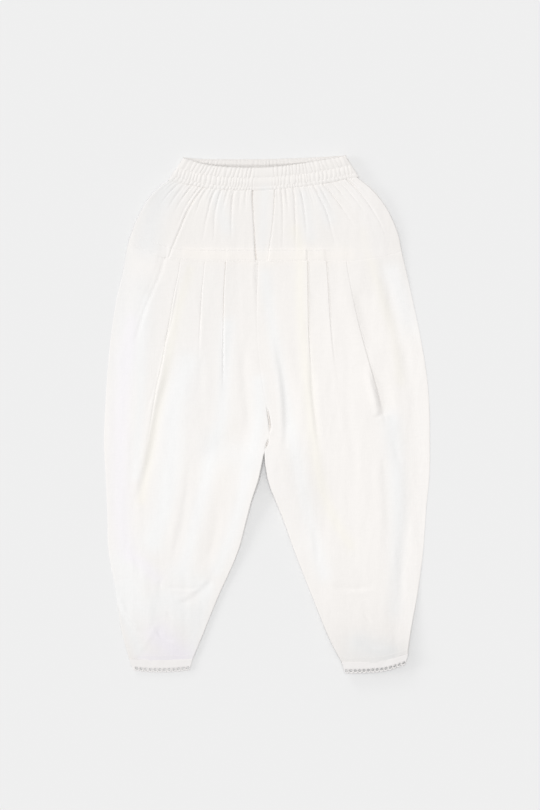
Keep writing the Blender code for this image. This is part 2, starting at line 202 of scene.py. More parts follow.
# Legs
SEAM_Y = 183.7
SEAM_BEND = 80.0
SEAM_RUN = 86.0
SEAM_RISE = {"right": 22.5, "left": 14.0}
SEAM_PAD = 0.2
SEAM_PAD_REACH = 0.03
LEG_TUCK = 0.005
LEG_TUCK_DEPTH = 1.0
STEP_SHARP = 0.7
STEP_SOFT = {"right": 1.5, "left": 3.6}
STEP_SOFTENS = {"right": 1.0, "left": 3.0}
STEP_TURNS = (-2.6, -1.7, -1.2, -0.85, -0.6, -0.35, -0.15, 0.0, 0.15, 0.35, 0.6, 0.85, 1.2, 1.7, 2.6)
PLEAT_FOOT = {"right": 1.25, "left": 0.9}
PLEAT_GROOVE_WIDTH = 0.45
UNDERLAP = {"right": 0.0, "left": 0.7}
FOLD_CORNER_SPREAD = 0.075
FOLD_EASE = 0.04
HEM_FALL = 0.6
HEM_FALL_FROM = 0.985
HEM_STITCHES = 0.986
ANKLE_LIFT = {"right": 1.0, "left": 7.0}
ANKLE_BEND = (195.0, 300.0)

# The fork, by distances below the middle: where the legs part, and where the seam above it gapes
FORK_EASE = (-25.0, 15.0)
FORK_OPEN = (43.0, 49.0)
FORK_GAPS = [(-11.0, 2.0, 12.0, 21.0), (29.0, 33.0, 36.0, 41.0)]
FORK_RECESS = 3.0
FORK_RECESS_Y = -72.0
FORK_RECESS_RUN = 26.0
FORK_RISE = 50.0
FORK_RISE_RUN = 45.0
CENTRE_DIP = 0.2
CENTRE_DIP_AT_FORK = 5.5
CENTRE_DIP_WIDTH = 1.0

# Hem lace
LACE_HEIGHT = 13.8
LACE_INSET = 4.0
LACE_OVERLAP = 2.0
LACE_LEVEL = {"front": 1.9, "back": 0.75}
LACE_LIFTED = {"front": 1.0, "back": 0.6}
LACE_FALL = 0.04
LACE_WAVE = 0.2
LACE_WAVE_SEED = 71
LACE_THICKNESS = 1.4
LACE_SAG = {"right": 1.7, "left": 0.0}
LACE_TAIL = {"right": 2.4, "left": 0.0}
HEADER_HEIGHT = 6.6
HEADER_THICKNESS = 0.7
HEADER_RIB = 0.12
HEADER_RIBS = 4
HEADER_EDGE = 0.35
HEADER_EDGE_RUN = 0.8
EYELETS = {"right": 12, "left": 14}
EYELET_RUN = {"right": (0.045, 1.0), "left": (0.0, 1.0)}
EYELET_DROP = 8.3
EYELET_HOLE = 1.65
EYELET_RISE = 2.6
EYELET_POWER = 8.0
EYELET_WRAPS = 14
EYELET_WRAP_DEPTH = 0.12
SCALLOP_DROP = {"right": 3.1, "left": 3.3}
SCALLOP_POWER = {"right": 6.0, "left": 3.2}
PICOT_REACH = 0.4
PICOT_WIDTH = 0.3

# Sewing
STITCH_PITCH = 2.6
STITCH_LENGTH = 2.1
STITCH_SIDES = 6
STITCH_RUN = (0.012, 0.988)
THREAD_RADIUS = 0.2

# Cotton's surface: the scale of its weave, how its slubs are drawn out, and the depths of both
WEAVE_SCALE = 380.0
WEAVE_DEPTH = 0.03
SLUB_FINE, SLUB_LONG, SLUB_HIGH = 900.0, 70.0, 400.0
SLUB_DEPTH = 0.10
FLECK = (0.985, 1.01)
CLOTH_WHITENESS = 0.937
WAVE_REPEAT = 0.31
FUZZ_SCALE = 2600.0

Sides = namedtuple("Sides", "y right left")
SIDES = [
    Sides(287, -110.0, 106.0),
    Sides(281, -117.5, 113.8),
    Sides(276, -125.5, 120.0),
    Sides(270, -132.5, 126.8),
    Sides(264, -138.3, 132.2),
    Sides(258, -143.0, 137.0),
    Sides(246, -150.0, 144.8),
    Sides(232, -157.0, 151.8),
    Sides(216, -163.0, 157.8),
    Sides(198, -168.0, 161.5),
    Sides(174, -172.0, 167.0),
    Sides(138, -180.5, 175.0),
    Sides(90, -187.5, 185.0),
    Sides(42, -192.0, 192.5),
    Sides(6, -194.0, 195.0),
    Sides(-30, -195.5, 195.5),
    Sides(-72, -193.5, 195.0),
    Sides(-114, -191.5, 191.0),
    Sides(-162, -190.0, 187.5),
    Sides(-210, -181.5, 181.5),
    Sides(-258, -174.5, 173.0),
    Sides(-300, -163.0, 167.0),
]

# The centre seam as far as the fork, then the inner side of each leg
Inner = namedtuple("Inner", "y right left")
INNER = [
    Inner(184, -10.3, -10.3),
    Inner(138, -12.0, -12.0),
    Inner(90, -11.3, -11.3),
    Inner(42, -6.0, -6.0),
    Inner(12, -0.5, -0.5),
    Inner(-4, 2.5, 2.5),
    Inner(-18, 3.7, 3.7),
    Inner(-34, 0.4, 0.4),
    Inner(-44, -2.8, -2.8),
    Inner(-54, -4.8, -2.8),
    Inner(-66, -7.2, -1.2),
    Inner(-78, -9.9, 1.1),
    Inner(-90, -13.8, 5.0),
    Inner(-102, -17.8, 10.0),
    Inner(-126, -24.2, 19.5),
    Inner(-162, -33.8, 32.5),
    Inner(-222, -60.0, 56.0),
    Inner(-270, -79.3, 75.7),
    Inner(-300, -92.0, 91.5),
]

Band = namedtuple("Band", "across top_x front_top back_top low_x low_y")
BAND = [
    Band(0.000, -99.5, 308.7, 308.9, -118.0, 281.5),
    Band(0.125, -75.5, 301.4, 307.2, -89.8, 275.5),
    Band(0.250, -51.5, 298.1, 307.0, -61.5, 270.8),
    Band(0.500, -3.5, 297.1, 307.2, -5.0, 269.5),
    Band(0.750, 44.5, 302.3, 308.6, 51.5, 274.8),
    Band(1.000, 93.8, 311.0, 311.4, 110.2, 285.6),
]

Hem = namedtuple("Hem", "across right left")
HEM = [
    Hem(0.0, -294.6, -287.5),
    Hem(0.3, -295.2, -294.5),
    Hem(0.6, -295.2, -297.0),
    Hem(1.0, -294.4, -297.8),
]

# The top of the back layer, and how far the front bulges over it
Layers = namedtuple("Layers", "y back bulge")
LAYERS = [
    Layers(290, 3.0, 3.3),
    Layers(184, 2.6, 3.1),
    Layers(90, 1.8, 2.8),
    Layers(0, 1.2, 2.5),
    Layers(-100, 1.2, 2.1),
    Layers(-220, 1.2, 1.5),
    Layers(-300, 1.2, 0.4),
]

# The top of the cloth at its outer and its inner edges, where both layers lie close together
Edge = namedtuple("Edge", "y outer inner")
EDGES = [
    Edge(290, 7.7, 5.0),
    Edge(276, 7.2, 5.0),
    Edge(258, 6.0, 5.0),
    Edge(230, 4.6, 5.0),
    Edge(200, 3.0, 5.0),
    Edge(170, 1.6, 5.0),
    Edge(140, 0.65, 5.2),
    Edge(100, 0.4, 5.5),
    Edge(0, 0.35, 6.0),
    Edge(-30, 0.35, 8.0),
    Edge(-50, 0.35, 13.5),
    Edge(-76, 0.35, 13.5),
    Edge(-92, 0.35, 12.4),
    Edge(-106, 0.35, 10.6),
    Edge(-130, 0.4, 7.6),
    Edge(-160, 0.5, 5.0),
    Edge(-230, 1.3, 2.9),
    Edge(-300, 1.3, 2.3),
]

# Gathers below the waistband, as valleys that fan out and fade
Gather = namedtuple("Gather", "band_x seam_x depth length")
GATHERS = [
    Gather(-103.0, -152.0, 0.8, 0.35),
    Gather(-96.0, -142.0, 0.8, 0.40),
    Gather(-88.5, -133.0, 0.8, 0.40),
    Gather(-80.5, -120.5, 1.0, 0.60),
    Gather(-76.0, -118.0, 1.8, 1.40),
    Gather(-71.5, -100.0, 0.9, 0.40),
    Gather(-61.5, -80.0, 1.1, 0.75),
    Gather(-54.0, -66.0, 1.1, 0.80),
    Gather(-47.0, -55.0, 0.8, 0.35),
    Gather(-39.5, -42.0, 1.4, 0.70),
    Gather(-31.0, -33.0, 0.8, 0.35),
    Gather(-24.5, -24.5, 0.8, 0.30),
    Gather(17.0, 19.5, 1.1, 0.85),
    Gather(22.5, 26.0, 0.8, 0.35),
    Gather(31.0, 34.0, 1.4, 0.90),
    Gather(39.5, 46.0, 1.2, 0.70),
    Gather(48.5, 62.0, 0.8, 0.30),
    Gather(55.5, 86.0, 1.3, 0.80),
    Gather(61.0, 98.0, 0.8, 0.35),
    Gather(67.0, 125.0, 1.3, 0.60),
    Gather(77.0, 135.0, 0.8, 0.35),
    Gather(85.0, 142.0, 1.0, 0.45),
    Gather(95.0, 150.0, 1.2, 0.75),
]

# The edges of the flat strip down the middle of the yoke, and the groove beside each. A groove eases
# at a level of the yoke, over a reach to both sides of it, and fades towards the seam.
Strip = namedtuple("Strip", "band_x seam_x inward groove eases level reach fades")
STRIP_EDGES = [
    Strip(-16.1, -11.3, 1, 2.7, 0.45, 0.4, 0.25, 0.0),
    Strip(8.6, 0.2, -1, 1.9, 0.0, 0.4, 0.25, 0.55),
]

# Folds of each leg by their place across it at five levels. A knife pleat steps up towards the
# centre and slopes away behind its edge, over its width. A trough is a soft valley. A fold runs from
# its start to its end. It has its top share of its depth at the yoke and all of it from the level
# full, and it fades after it holds for that share of its length. Groove is at a pleat's foot.
FOLD_LEVELS = (0.0, 0.2, 0.4, 0.6, 1.0)
Fold = namedtuple("Fold", "kind yoke thigh fork knee hem depth width start end top full groove holds")
FOLDS = {
    "right": [
        Fold("trough", 0.310, 0.166, 0.13, 0.13, 0.16, 1.2, 1.7, 0.00, 0.24, 0.9, 0.1, 0.0, 0.67),
        Fold("trough", 0.276, 0.136, 0.11, 0.11, 0.14, 0.5, 2.4, 0.00, 0.20, 0.9, 0.1, 0.0, 0.67),
        Fold("knife", 0.425, 0.394, 0.285, 0.24, 0.32, 0.65, 16.0, 0.00, 0.50, 0.40, 0.40, 1.5, 0.5),
        Fold("knife", 0.602, 0.622, 0.570, 0.53, 0.50, 0.6, 14.0, 0.00, 0.27, 0.50, 0.15, 1.1, 0.5),
        Fold("knife", 0.757, 0.783, 0.735, 0.69, 0.67, 0.8, 14.0, 0.00, 0.33, 0.85, 0.10, 1.7, 0.6),
        Fold("trough", 0.91, 0.91, 0.87, 0.84, 0.84, 1.0, 6.0, 0.22, 0.45, 1.0, 0.1, 0.0, 0.67),
    ],
    "left": [
        Fold("trough", 0.165, 0.128, 0.11, 0.12, 0.17, 1.1, 7.0, 0.00, 0.36, 0.3, 0.12, 0.0, 0.67),
        Fold("knife", 0.405, 0.360, 0.283, 0.27, 0.30, 2.3, 26.0, 0.00, 0.430, 0.13, 0.50, 0.24, 0.72),
        Fold("knife", 0.533, 0.548, 0.557, 0.53, 0.50, 1.3, 14.0, 0.00, 0.33, 0.80, 0.08, 0.40, 0.1),
        Fold("knife", 0.663, 0.686, 0.722, 0.69, 0.67, 1.5, 14.0, 0.00, 0.38, 0.85, 0.08, 0.45, 0.1),
    ],
}

# Creases that follow paths of their own. A crease is a valley, or a ridge where its depth is below
# zero. Its lean lifts the right-hand side of the path and drops the left. Head and tail are the
# shares of its length over which it fades in and out.
Crease = namedtuple("Crease", "path depth width lean head tail")
CREASES = {
    "right": [
        Crease([(-13.2, 182), (-12.8, 165), (-12.5, 148), (-11.5, 125)], 0.6, 2.6, 0.35, 0.03, 0.6),
        Crease([(-103, 172), (-115, 108), (-126, 78), (-135, 32), (-143, 8), (-149, -36)],
               0.45, 1.3, 0.0, 0.1, 0.4),
        Crease([(-115, 80), (-121, 44), (-131, 6), (-139, -40), (-152, -90), (-156, -110)],
               1.2, 4.8, 0.4, 0.3, 0.35),
        Crease([(-92, -30), (-95, -78), (-102, -126), (-109, -156), (-119, -186)],
               0.7, 5.0, 0.3, 0.4, 0.4),
        Crease([(-54, -66), (-59, -126), (-68, -168), (-72, -188)], 0.6, 5.0, -0.3, 0.4, 0.4),
        Crease([(-127, -197), (-128, -203), (-127, -210)], 0.4, 1.4, 0.0, 0.4, 0.4),
        Crease([(-122, -205), (-112, -208), (-100, -209), (-86, -208), (-76, -204)],
               0.5, 1.9, 0.4, 0.25, 0.4),
        Crease([(-72, -185), (-69, -199), (-81, -211), (-92, -220), (-104, -225), (-118, -226)],
               0.55, 3.6, 0.4, 0.3, 0.35),
        Crease([(-122, -236), (-116, -241), (-110, -246)], 0.5, 1.8, 0.0, 0.4, 0.4),
        Crease([(-134, -255), (-128, -265), (-119, -270), (-106, -270)], 0.5, 2.2, 0.3, 0.3, 0.4),
        Crease([(-181, -221), (-177, -229), (-172, -240), (-164, -249), (-157, -258), (-144, -260)],
               0.7, 2.8, -0.6, 0.05, 0.3),
        Crease([(-156, -285), (-147, -275), (-133, -254), (-126, -247)], -0.35, 3.4, 0.0, 0.2, 0.3),
        Crease([(-166, -150), (-158, -175), (-150, -196)], 0.45, 4.0, 0.3, 0.4, 0.4),
        Crease([(-45, 120), (-49, 60), (-55, 10)], 0.5, 5.0, 0.2, 0.4, 0.4),
        Crease([(-78, 90), (-80, 40), (-84, 0)], 0.45, 5.0, -0.2, 0.4, 0.4),
    ],
    "left": [
        Crease([(50.5, 78), (53, 40), (57, 2), (62, -36), (69, -84)], 0.9, 2.8, 0.3, 0.3, 0.5),
        Crease([(8, 104), (12, 78), (16.5, 54), (20.5, 18), (21.5, -18), (20, -48)],
               1.2, 2.9, 0.45, 0.7, 0.35),
        Crease([(15, 104), (19, 78), (24, 54), (28, 18), (29, -18), (28, -48)],
               1.3, 8.0, 0.0, 0.7, 0.35),
        Crease([(116, 62), (122, 44), (128, 26), (133, 6)], -1.3, 4.2, 0.0, 0.4, 0.2),
        Crease([(122.5, 60), (128, 42), (132.8, 24), (136.6, 8), (138, -1)], 1.6, 3.7, 0.42, 0.5, 0.07),
        Crease([(133, 60), (138, 42), (143, 24), (148, 2), (150, -16)], 1.5, 7.5, 0.0, 0.5, 0.35),
        Crease([(137, 4), (133.5, 0), (129, -1), (124, 1)], 0.6, 2.4, 0.25, 0.15, 0.6),
        Crease([(103, 160), (115, 118), (129, 70)], 1.3, 9.0, 0.5, 0.3, 0.3),
        Crease([(139, -42), (142, -78), (144, -126), (143, -186)], 0.8, 6.0, 0.4, 0.3, 0.4),
        Crease([(149, -18), (160, -66)], 0.6, 4.0, 0.2, 0.4, 0.4),
        Crease([(52, -126), (59, -150), (61, -186)], 0.6, 4.5, 0.2, 0.4, 0.4),
        Crease([(76, -204), (92, -209), (110, -209), (134, -206)], 0.8, 3.0, 0.4, 0.3, 0.3),
        Crease([(114, -236), (121, -244), (127, -251)], 0.45, 1.8, 0.0, 0.4, 0.4),
        Crease([(106, -270), (126, -277), (149, -276)], 0.6, 3.0, 0.3, 0.3, 0.4),
        Crease([(166, -120), (162, -170), (160, -215)], 0.5, 5.0, 0.0, 0.4, 0.4),
        Crease([(88, 60), (95, 10), (104, -50), (108, -110)], 0.5, 6.0, 0.2, 0.4, 0.4),
        Crease([(30, 110), (36, 60), (41, 20)], 0.5, 5.0, 0.2, 0.4, 0.4),
    ],
}

# Undulations of ironed cotton: a height, and its size across and along the leg
Ripple = namedtuple("Ripple", "height across along seed")
RIPPLES = [
    Ripple(0.34, 16.0, 90.0, 3),
    Ripple(0.20, 7.0, 34.0, 11),
    Ripple(0.07, 3.4, 5.0, 23),
]

# Painted shade down the garment: the cloth's white darkened under the waistband and on the yoke, and more
# towards the hems, where less light falls
PaintedShade = namedtuple("PaintedShade", "y value")
PAINTED_SHADES = [
    PaintedShade(310, 0.955),
    PaintedShade(285, 0.967),
    PaintedShade(230, 0.968),
    PaintedShade(204, 0.972),
    PaintedShade(196, 0.985),
    PaintedShade(184, 0.985),
    PaintedShade(90, 1.0),
    PaintedShade(-100, 1.0),
    PaintedShade(-180, 0.99),
    PaintedShade(-240, 0.955),
    PaintedShade(-270, 0.925),
    PaintedShade(-310, 0.90),
]

# Soft streaks along the folds and edges: warmer or plainer tints of the cloth's white, and painted light
# and shade, with lighter whites where the cloth is to look more brightly lit and greyer ones where it is to
# look shaded
PEACH = np.array([0.932, 0.904, 0.879])
CREAM = np.array([0.942, 0.912, 0.856])
PLAIN = np.array([0.918, 0.916, 0.912])
LILAC = np.array([0.924, 0.893, 0.934])
ASH = np.array([0.872, 0.867, 0.862])
APRICOT = np.array([0.957, 0.916, 0.873])
IVORY = np.array([0.950, 0.925, 0.907])
CLEAR = np.array([0.962, 0.938, 0.918])
MILK = np.array([0.940, 0.938, 0.935])
SNOW = np.array([0.972, 0.967, 0.963])
BRIGHT = np.array([0.985, 0.958, 0.935])
DOVE = np.array([0.888, 0.886, 0.883])
SAND = np.array([0.905, 0.874, 0.846])
HEATHER = np.array([0.903, 0.880, 0.910])
Streak = namedtuple("Streak", "path width white amount")
TINT_AND_LIGHT_STREAKS = [
    Streak([(-153, 150), (-160, 110), (-168, 70)], 26, ASH, 0.75),
    Streak([(-174, 55), (-179, 10), (-181, -50), (-178, -120), (-168, -185)], 20, ASH, 0.45),
    Streak([(-96, 60), (-112, 10), (-114, -42), (-119, -80), (-124, -114), (-137, -152)],
           15, MILK, 0.95),
    Streak([(-38, -12), (-43, -42), (-53, -78), (-60, -114), (-67, -156)], 10, SAND, 0.8),
    Streak([(-178, -175), (-150, -190)], 14, PLAIN, 0.6),
    Streak([(-108, -190), (-90, -200), (-76, -205)], 14, PLAIN, 0.7),
    Streak([(-72, -208), (-84, -250), (-92, -285)], 9, MILK, 0.8),
    Streak([(-92, 174), (-106, 126), (-116, 78), (-128, 18), (-140, -42), (-150, -102)], 6, CREAM, 0.9),
    Streak([(-47, 108), (-52, 40), (-55, -6), (-66, -42), (-73, -78), (-82, -114), (-100, -185)],
           9, MILK, 0.85),
    Streak([(-66, 50), (-80, -6), (-88, -42), (-95, -75), (-104, -110), (-115, -152)], 7, PEACH, 0.85),
    Streak([(-10, 40), (-9, 0), (-16, -42), (-26, -78), (-33, -112), (-45, -150), (-60, -186)],
           9, MILK, 0.8),
    Streak([(-162, 110), (-172, 30), (-176, -42), (-174, -130), (-168, -160)], 12, HEATHER, 0.7),
    Streak([(-66, -36), (-40, -48), (-12, -52)], 18, DOVE, 0.5),
    Streak([(-146, 138), (-150, 78), (-152, 6), (-158, -72)], 7, PLAIN, 0.8),
    Streak([(-164, -170), (-150, -178), (-132, -196)], 8, LILAC, 0.6),
    Streak([(-130, -262), (-104, -290)], 18, LILAC, 1.0),
    Streak([(-150, -290), (-110, -296)], 8, LILAC, 0.8),
    Streak([(-2, 168), (6, 108), (16, 54), (26, -10)], 8, PLAIN, 0.75),
    Streak([(28, -20), (36, -54), (44, -98), (54, -140), (68, -190)], 10, MILK, 0.75),
    Streak([(34, 222), (40, 198), (40, 138), (46, 66), (52, 6), (64, -78), (82, -126), (100, -156)],
           7, CREAM, 0.9),
    Streak([(117, 222), (121, 198), (136, 150), (154, 90), (160, 42)], 7, CREAM, 0.7),
    Streak([(150, -6), (156, -72), (159, -132), (158, -234)], 12, DOVE, 0.95),
    Streak([(150, 172), (162, 138), (172, 100)], 13, SNOW, 0.8),
    Streak([(170, 92), (180, 42), (183, 0), (184, -60), (182, -114), (176, -150), (170, -200), (166, -262)],
           14, BRIGHT, 0.85),
    Streak([(-122, 268), (-134, 245), (-140, 225), (-144, 205)], 19, ASH, 1.0),
    Streak([(-170, 190), (-176, 140), (-178, 100)], 8, ASH, 0.6),
    Streak([(112, 268), (124, 238), (134, 205)], 18, IVORY, 0.9),
    Streak([(-2, 270), (-4, 230), (-6, 190)], 7, PLAIN, 0.6),
    Streak([(66, 262), (74, 235)], 10, PLAIN, 0.6),
    Streak([(110, -274), (146, -284)], 14, DOVE, 0.9),
    Streak([(100, -290), (160, -290)], 10, ASH, 0.35),
    Streak([(-70, 150), (-75, 90), (-80, 30)], 42, ASH, 0.2),
    Streak([(-95, 194), (-30, 190), (30, 190), (95, 192)], 10, APRICOT, 0.6),
    Streak([(-168, -205), (-150, -232), (-120, -222), (-95, -240)], 22, PLAIN, 0.9),
    Streak([(-180, -212), (-167, -248), (-154, -280)], 9, PLAIN, 0.9),
    Streak([(44, 262), (48, 240), (52, 215)], 9, PLAIN, 0.6),
    Streak([(-60, 262), (-54, 240), (-48, 225)], 9, PLAIN, 0.6),
    Streak([(6, -58), (12, -78), (24, -104), (40, -150)], 16, CLEAR, 0.6),
    Streak([(98, 90), (104, -60), (112, -170)], 45, CLEAR, 0.12),
    Streak([(-98, 40), (-104, -80), (-112, -160)], 50, ASH, 0.12),
]


def column(table, name):
    return np.array([getattr(row, name) for row in table], float)


def curve(table, place, value):
    """A smooth function through two columns of a table: cubic pieces whose slope at each row is the
    mean of the slopes of the chords on its two sides."""
    places, values = column(table, place), column(table, value)
    order = np.argsort(places)
    places, values = places[order], values[order]
    chords = np.diff(values) / np.diff(places)
    slopes = np.concatenate([chords[:1], (chords[1:] + chords[:-1]) / 2, chords[-1:]])

    def at(where):
        where = np.clip(where, places[0], places[-1])
        i = np.clip(np.searchsorted(places, where) - 1, 0, len(places) - 2)
        span = places[i + 1] - places[i]
        u = (where - places[i]) / span
        ends = values[i] * (1 + 2 * u) * (1 - u) ** 2 + values[i + 1] * u**2 * (3 - 2 * u)
        return ends + span * u * (1 - u) * (slopes[i] * (1 - u) - slopes[i + 1] * u)

    return at


SIDE_AT = {side: curve(SIDES, "y", side) for side in BOTH}
INNER_AT = {side: curve(INNER, "y", side) for side in BOTH}
HEM_AT = {side: curve(HEM, "across", side) for side in BOTH}
BACK_AT = curve(LAYERS, "y", "back")
BULGE_AT = curve(LAYERS, "y", "bulge")
BAND_AT = {name: curve(BAND, "across", name) for name in Band._fields[1:]}
BAND_LOW_AT = curve(BAND, "low_x", "low_y")
PAINTED_SHADE_AT = curve(PAINTED_SHADES, "y", "value")
OUTER_EDGE_AT, INNER_EDGE_AT = curve(EDGES, "y", "outer"), curve(EDGES, "y", "inner")


def smooth_step(low, high, value):
    """0 below low, 1 above high, with level ends."""
    u = np.clip((value - low) / (high - low), 0, 1)
    return u * u * (3 - 2 * u)


def roll(distance, radius=EDGE_ROLL):
    """A quarter round: 0 at an edge, 1 from the radius inwards."""
    u = np.clip(distance / radius, 0, 1)
    return np.sqrt(1 - (1 - u) ** 2)


def bell(distance, width):
    """1 at the middle, falling off evenly to both sides."""
    return np.exp(-((distance / width) ** 2))


def soft_noise(x, y, seed):
    """Smooth random height from -1 to 1: a random value at each whole number of x and y, and
    between them a blend of the four nearest by level-ended steps."""
    size = 128
    values = np.random.default_rng(seed).uniform(-1, 1, (size, size))
    i, j = np.floor(x).astype(int), np.floor(y).astype(int)
    u, v = smooth_step(0, 1, x - i), smooth_step(0, 1, y - j)
    i, j, i_next, j_next = i % size, j % size, (i + 1) % size, (j + 1) % size
    low = values[i, j] * (1 - u) + values[i_next, j] * u
    high = values[i, j_next] * (1 - u) + values[i_next, j_next] * u
    return low * (1 - v) + high * v


def smooth_path(points, per_span=5):
    """Points of a curve that passes through the given ones: on each span, a cubic whose end slopes
    run from the point before to the point after."""
    points = np.array(points, float)
    ends = np.concatenate([2 * points[:1] - points[1:2], points, 2 * points[-1:] - points[-2:-1]])
    u = np.linspace(0, 1, per_span, endpoint=False)[:, None, None]
    before, start, end, after = ends[:-3], ends[1:-2], ends[2:-1], ends[3:]
    weights = (-u + 2 * u**2 - u**3, 2 - 5 * u**2 + 3 * u**3, u + 4 * u**2 - 3 * u**3, u**3 - u**2)
    spans = sum(w * p for w, p in zip(weights, (before, start, end, after))) / 2
    return np.concatenate([spans.transpose(1, 0, 2).reshape(-1, 2), points[-1:]])


def beside_path(path, x, y):
    """For each point, the signed distance to the nearest piece of a path, above zero on its
    right-hand side, and how far along the path that is, from 0 to 1."""
    line = smooth_path(path)
    nearest = np.full(x.shape, np.inf)
    signed, along = np.zeros(x.shape), np.zeros(x.shape)
    for i, (start, step) in enumerate(zip(line[:-1], np.diff(line, axis=0))):
        from_x, from_y = x - start[0], y - start[1]
        u = np.clip((from_x * step[0] + from_y * step[1]) / (step @ step), 0, 1)
        off_x, off_y = from_x - u * step[0], from_y - u * step[1]
        distance = np.hypot(off_x, off_y)
        closer = distance < nearest
        nearest = np.where(closer, distance, nearest)
        side = np.sign(off_x * step[1] - off_y * step[0])
        signed = np.where(closer, distance * side, signed)
        along = np.where(closer, (i + u) / (len(line) - 1), along)
    return signed, along


def crease_relief(creases, x, y):
    """The height that creases add: each is a bell-shaped valley along its path, with a wave that
    lifts one side, and fades at its ends."""
    relief = np.zeros(x.shape)
    for crease in creases:
        points = np.array(crease.path, float)
        reach = CREASE_REACH * crease.width
        low, high = points.min(axis=0) - reach, points.max(axis=0) + reach
        near = (x > low[0]) & (x < high[0]) & (y > low[1]) & (y < high[1])
        if not near.any():
            continue
        signed, along = beside_path(crease.path, x[near], y[near])
        fade = smooth_step(0, crease.head, along) * smooth_step(0, crease.tail, 1 - along)
        valley = np.sign(crease.depth) * bell(signed, crease.width)
        wave = 2 * crease.lean * signed / crease.width * bell(signed, LEAN_REACH * crease.width)
        relief[near] += abs(crease.depth) * fade * (wave - valley)
    return relief


def ripple_relief(x, y, shift):
    """Low undulations of ironed cloth, longer along the garment than across it."""
    relief = np.zeros(x.shape)
    for ripple in RIPPLES:
        waves = soft_noise(x / ripple.across + shift, y / ripple.along, ripple.seed + shift)
        relief += ripple.height * waves
    return relief


def seam_y(x):
    """The seam at the yoke: level for SEAM_BEND to each side, then rising as a parabola."""
    past = np.clip((np.abs(x) - SEAM_BEND) / SEAM_RUN, 0, None)
    rise = np.where(x < 0, SEAM_RISE["right"], SEAM_RISE["left"])
    return SEAM_Y + rise * past**2


def rim_height(edge_at, y):
    """The height of a side edge, where the front turns in and the back curls up to meet it."""
    return RIM + RIM_SHARE * (edge_at(y) - RIM)


def swelling(distance, reach=EDGE_RISE):
    """How far the front has risen from an edge to its full height. It starts a little outside."""
    return smooth_step(-EDGE_START * reach, reach, distance)


def front_top(x, y):
    """The front without its folds: thin at its outer edges, and rising softly to one wall and one
    gap above the back, with the bulge on top."""
    from_side = np.minimum(x - SIDE_AT["right"](y), SIDE_AT["left"](y) - x)
    thin, full = OUTER_EDGE_AT(y), BACK_AT(y) + LAYER_GAP + WALL + BULGE_AT(y)
    return thin + (full - thin) * swelling(from_side)


def back_curl(edge_at, y, from_edge):
    """How far the back curls up near an edge, to lie just under the front's rim."""
    return np.clip(rim_height(edge_at, y) - BACK_DROP, 0, None) * (1 - smooth_step(0, BACK_CURL, from_edge))


def back_lift(relief, level, share, from_edge):
    """The back from below: what stands proud on a front lies on the surface here, and the valleys
    are lifted off it."""
    lifted = np.clip(level - share * relief, 0, BACK_REACH)
    return FLOOR_GAP + lifted * smooth_step(0, BACK_EDGE, from_edge)


def spread(lines):
    """Columns of points from lines across a piece, side by side on every row and never closer than
    the least spacing."""
    places = np.sort(np.stack(lines, axis=1), axis=1)
    steps = np.maximum(np.diff(places, axis=1), LEAST_SPACING)
    places = np.concatenate([places[:, :1], places[:, :1] + np.cumsum(steps, axis=1)], axis=1)
    return places / places[:, -1:]


def filled(lines, usual_width, spacing):
    """The lines with more between them, so that no two are further apart than the spacing."""
    lines = sorted(lines, key=lambda line: line[0])
    full = lines[:1]
    for line in lines[1:]:
        last = full[-1]
        between = int(np.max(line - last) * usual_width // spacing)
        full += [last + (line - last) * (i + 1) / (between + 1) for i in range(between)]
        full.append(line)
    return full


def edge_lines(level, usual_width):
    """Lines down a piece, close together at both its sides."""
    insets = np.array(EDGE_INSETS) / usual_width
    return [np.full_like(level, place) for place in [*insets, *(1 - insets)]]


def over(rows, across):
    """The level of each row, at every point of a grid."""
    return np.broadcast_to(rows[:, None], across.shape)


def stack(x, y, z):
    return np.stack(np.broadcast_arrays(x, y, z), axis=-1)


def white_with_painted_light(x, y):
    """The cloth's white at each point, with painted light and shade: peach, blended towards each streak's
    own white by a bell across its path, and darkened down the garment by the painted shade."""
    white = np.broadcast_to(PEACH, (*x.shape, 3)).copy()
    for streak in TINT_AND_LIGHT_STREAKS:
        signed, _ = beside_path(streak.path, x, y)
        amount = streak.amount * bell(signed, streak.width)[..., None]
        white += (streak.white - white) * amount
    return white * PAINTED_SHADE_AT(y)[..., None]


def tangent_cross(grid):
    """The cross product of a grid's tangents at each point."""
    return np.cross(np.gradient(grid, axis=1), np.gradient(grid, axis=0))


def normals_of(grid, facing):
    """Unit normals of a grid, up for facing 1 and down for -1."""
    normals = tangent_cross(grid)
    normals /= np.maximum(np.linalg.norm(normals, axis=-1, keepdims=True), TINY)
    return normals * facing * np.sign(np.median(normals[..., 2]))


def quads_of(grid):
    corners = [grid[:-1, :-1], grid[:-1, 1:], grid[1:, 1:], grid[1:, :-1]]
    return np.stack(corners, axis=-1).reshape(-1, 4)


def rim_of(outer, inner):
    """Quads that join the four sides of an outer grid to those of the inner one."""
    strips = [
        (outer[0, 1:], outer[0, :-1], inner[0, :-1], inner[0, 1:]),
        (outer[-1, :-1], outer[-1, 1:], inner[-1, 1:], inner[-1, :-1]),
        (outer[:-1, 0], outer[1:, 0], inner[1:, 0], inner[:-1, 0]),
        (outer[1:, -1], outer[:-1, -1], inner[:-1, -1], inner[1:, -1]),
    ]
    return np.concatenate([np.stack(strip, axis=-1) for strip in strips])


def closed_wall(outer, inner, facing):
    """Points and quads of a closed wall between two grids of points, joined by a rim. The outer one
    faces up for facing 1 and down for -1."""
    rows, columns = outer.shape[:2]
    outside = np.arange(rows * columns).reshape(rows, columns)
    inside = outside + rows * columns
    faces = np.concatenate([quads_of(outside), quads_of(inside)[:, ::-1], rim_of(outside, inside)])
    if np.median(tangent_cross(outer)[..., 2]) * facing < 0:
        faces = faces[:, ::-1]
    return np.concatenate([outer.reshape(-1, 3), inner.reshape(-1, 3)]), faces


